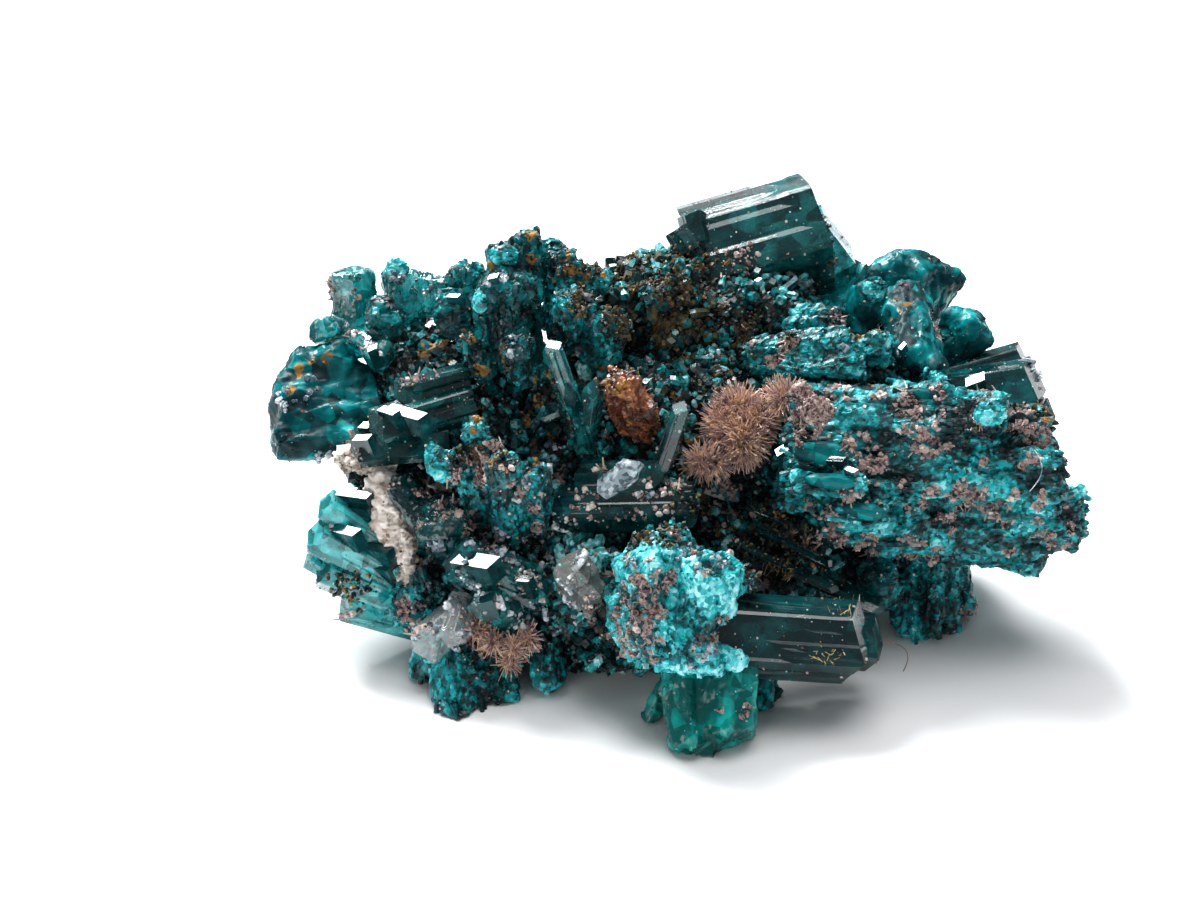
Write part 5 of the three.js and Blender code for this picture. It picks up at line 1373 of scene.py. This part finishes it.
# %% The sprays
def spray(name, domes, needles, replaced):
    """Needles on domes, with grains at their foot.

    needles: per mm2, thickness, length and scatter.
    """
    per_mm2, thick, long, scatter = needles
    stand = all_together(name + "_stand", domes)
    piece = cover(name, stand, "needle", "pink_needles", {
        "Per Square Millimetre": per_mm2, "Smallest": thick * 0.8 * MM,
        "Largest": thick * 1.3 * MM, "Stretch": long / thick, "Scatter": scatter, "Seed": 301})
    foot = cover(name + "_foot", stand, "grain", "pink_needles", {
        "Per Square Millimetre": 45, "Smallest": 0.15 * MM, "Largest": 0.4 * MM, "Stretch": 1.0,
        "Scatter": 1.0, "Seed": 302})
    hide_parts(replaced)
    for helper in (stand, *domes):
        bpy.data.objects.remove(helper)
    return piece, foot


def domes_at(name, places):
    return [dome(name, seen(*centre), sizes) for centre, sizes in places]


main_spray = spray("pink_spray_needles", domes_at("spray_dome", [
    ((4.1, 0.9, 2.2), (0.9, 0.9, 0.8)), ((4.9, 2.0, 1.9), (0.7, 0.7, 0.7)),
    ((3.1, 1.8, 1.7), (0.7, 0.8, 0.6)), ((3.9, 2.8, 1.5), (0.7, 0.6, 0.6)),
    ((2.0, -0.4, 2.5), (0.9, 0.3, 0.4)), ((6.6, 3.3, 2.2), (0.6, 0.4, 0.5))]),
    (260, 0.45, 0.75, 0.7), "pink_spray")
star_spray = spray("pink_star_needles", domes_at("star_dome", [
    ((-10.6, -11.0, 4.2), (0.35, 0.3, 0.25)), ((-9.4, -11.4, 4.4), (0.3, 0.3, 0.22)),
    ((-8.6, -10.7, 4.2), (0.3, 0.3, 0.22)), ((-11.6, -10.3, 4.0), (0.35, 0.3, 0.22)),
    ((-12.2, -9.9, 3.6), (0.3, 0.3, 0.2)), ((-9.7, -12.2, 3.8), (0.35, 0.3, 0.22))]),
    (190, 0.45, 0.6, 0.5), "pink_stars")
print("needle faces:", [len(p.data.polygons) for p in (*main_spray, *star_spray)])

# %% [markdown]
# ## Two stray fibres
# Fibres from a cloth have caught on the specimen: a white one lies over the right bundle and
# a dark one hangs from the end of the front prism. Each is a thin closed tube along a few
# points, with its first point on what holds it.

# %% The fibres
FIBRE_SIDES = 5
FIBRE_RADIUS = 0.03 * MM


def fibre(name, course, material_name):
    """A thin tube along a course of places, as a piece."""
    ring_turn = np.arange(FIBRE_SIDES) / FIBRE_SIDES * 2 * math.pi
    rings = []
    for i, place in enumerate(course):
        ahead = course[min(i + 1, len(course) - 1)] - course[max(i - 1, 0)]
        across, aside, _ = frame_along(Vector(), ahead, 0)
        rings.append([place + (across * math.cos(a) + aside * math.sin(a)) * FIBRE_RADIUS
                      for a in ring_turn])
    points = [point for ring in rings for point in ring] + [course[-1], course[0]]
    piece = mesh_from(name, points, closed_faces(len(rings), FIBRE_SIDES),
                      [(0.0, 0.0, i) for i in range(len(points))], 0.5)
    piece.data.materials.append(minerals[material_name])
    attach(piece, "root")
    return piece


LIES_ABOVE = 0.2 * MM
lying = [met_at(surface_met, x, y) for x, y in ((21.9, 0.3), (21.6, -2.2))]
bend = front_direction(1, 0, 0) * 0.5 * MM
white_course = [lying[0].lerp(lying[1], t) + bend * math.sin(t * math.pi)
                + towards_camera * LIES_ABOVE * (1 + 2 * math.sin(t * math.pi))
                for t in np.linspace(0, 1, 9)]
dark_course = [seen(12.1 + 1.5 * math.sin(2.2 * t), -10.9 - 1.7 * t * t, 4.8 + 0.4 * t)
               for t in np.linspace(0, 1, 9)]
fibres = [fibre("white_fibre", white_course, "white_sparkle"),
          fibre("dark_fibre", dark_course, "rust_mineral")]
print("fibres:", [f.name for f in fibres])

# %% Take away the helpers
for helper in [*shapes.values(), *points_of.values(), first_skins, surface, under_floor]:
    bpy.data.objects.remove(helper)
bpy.context.view_layer.update()
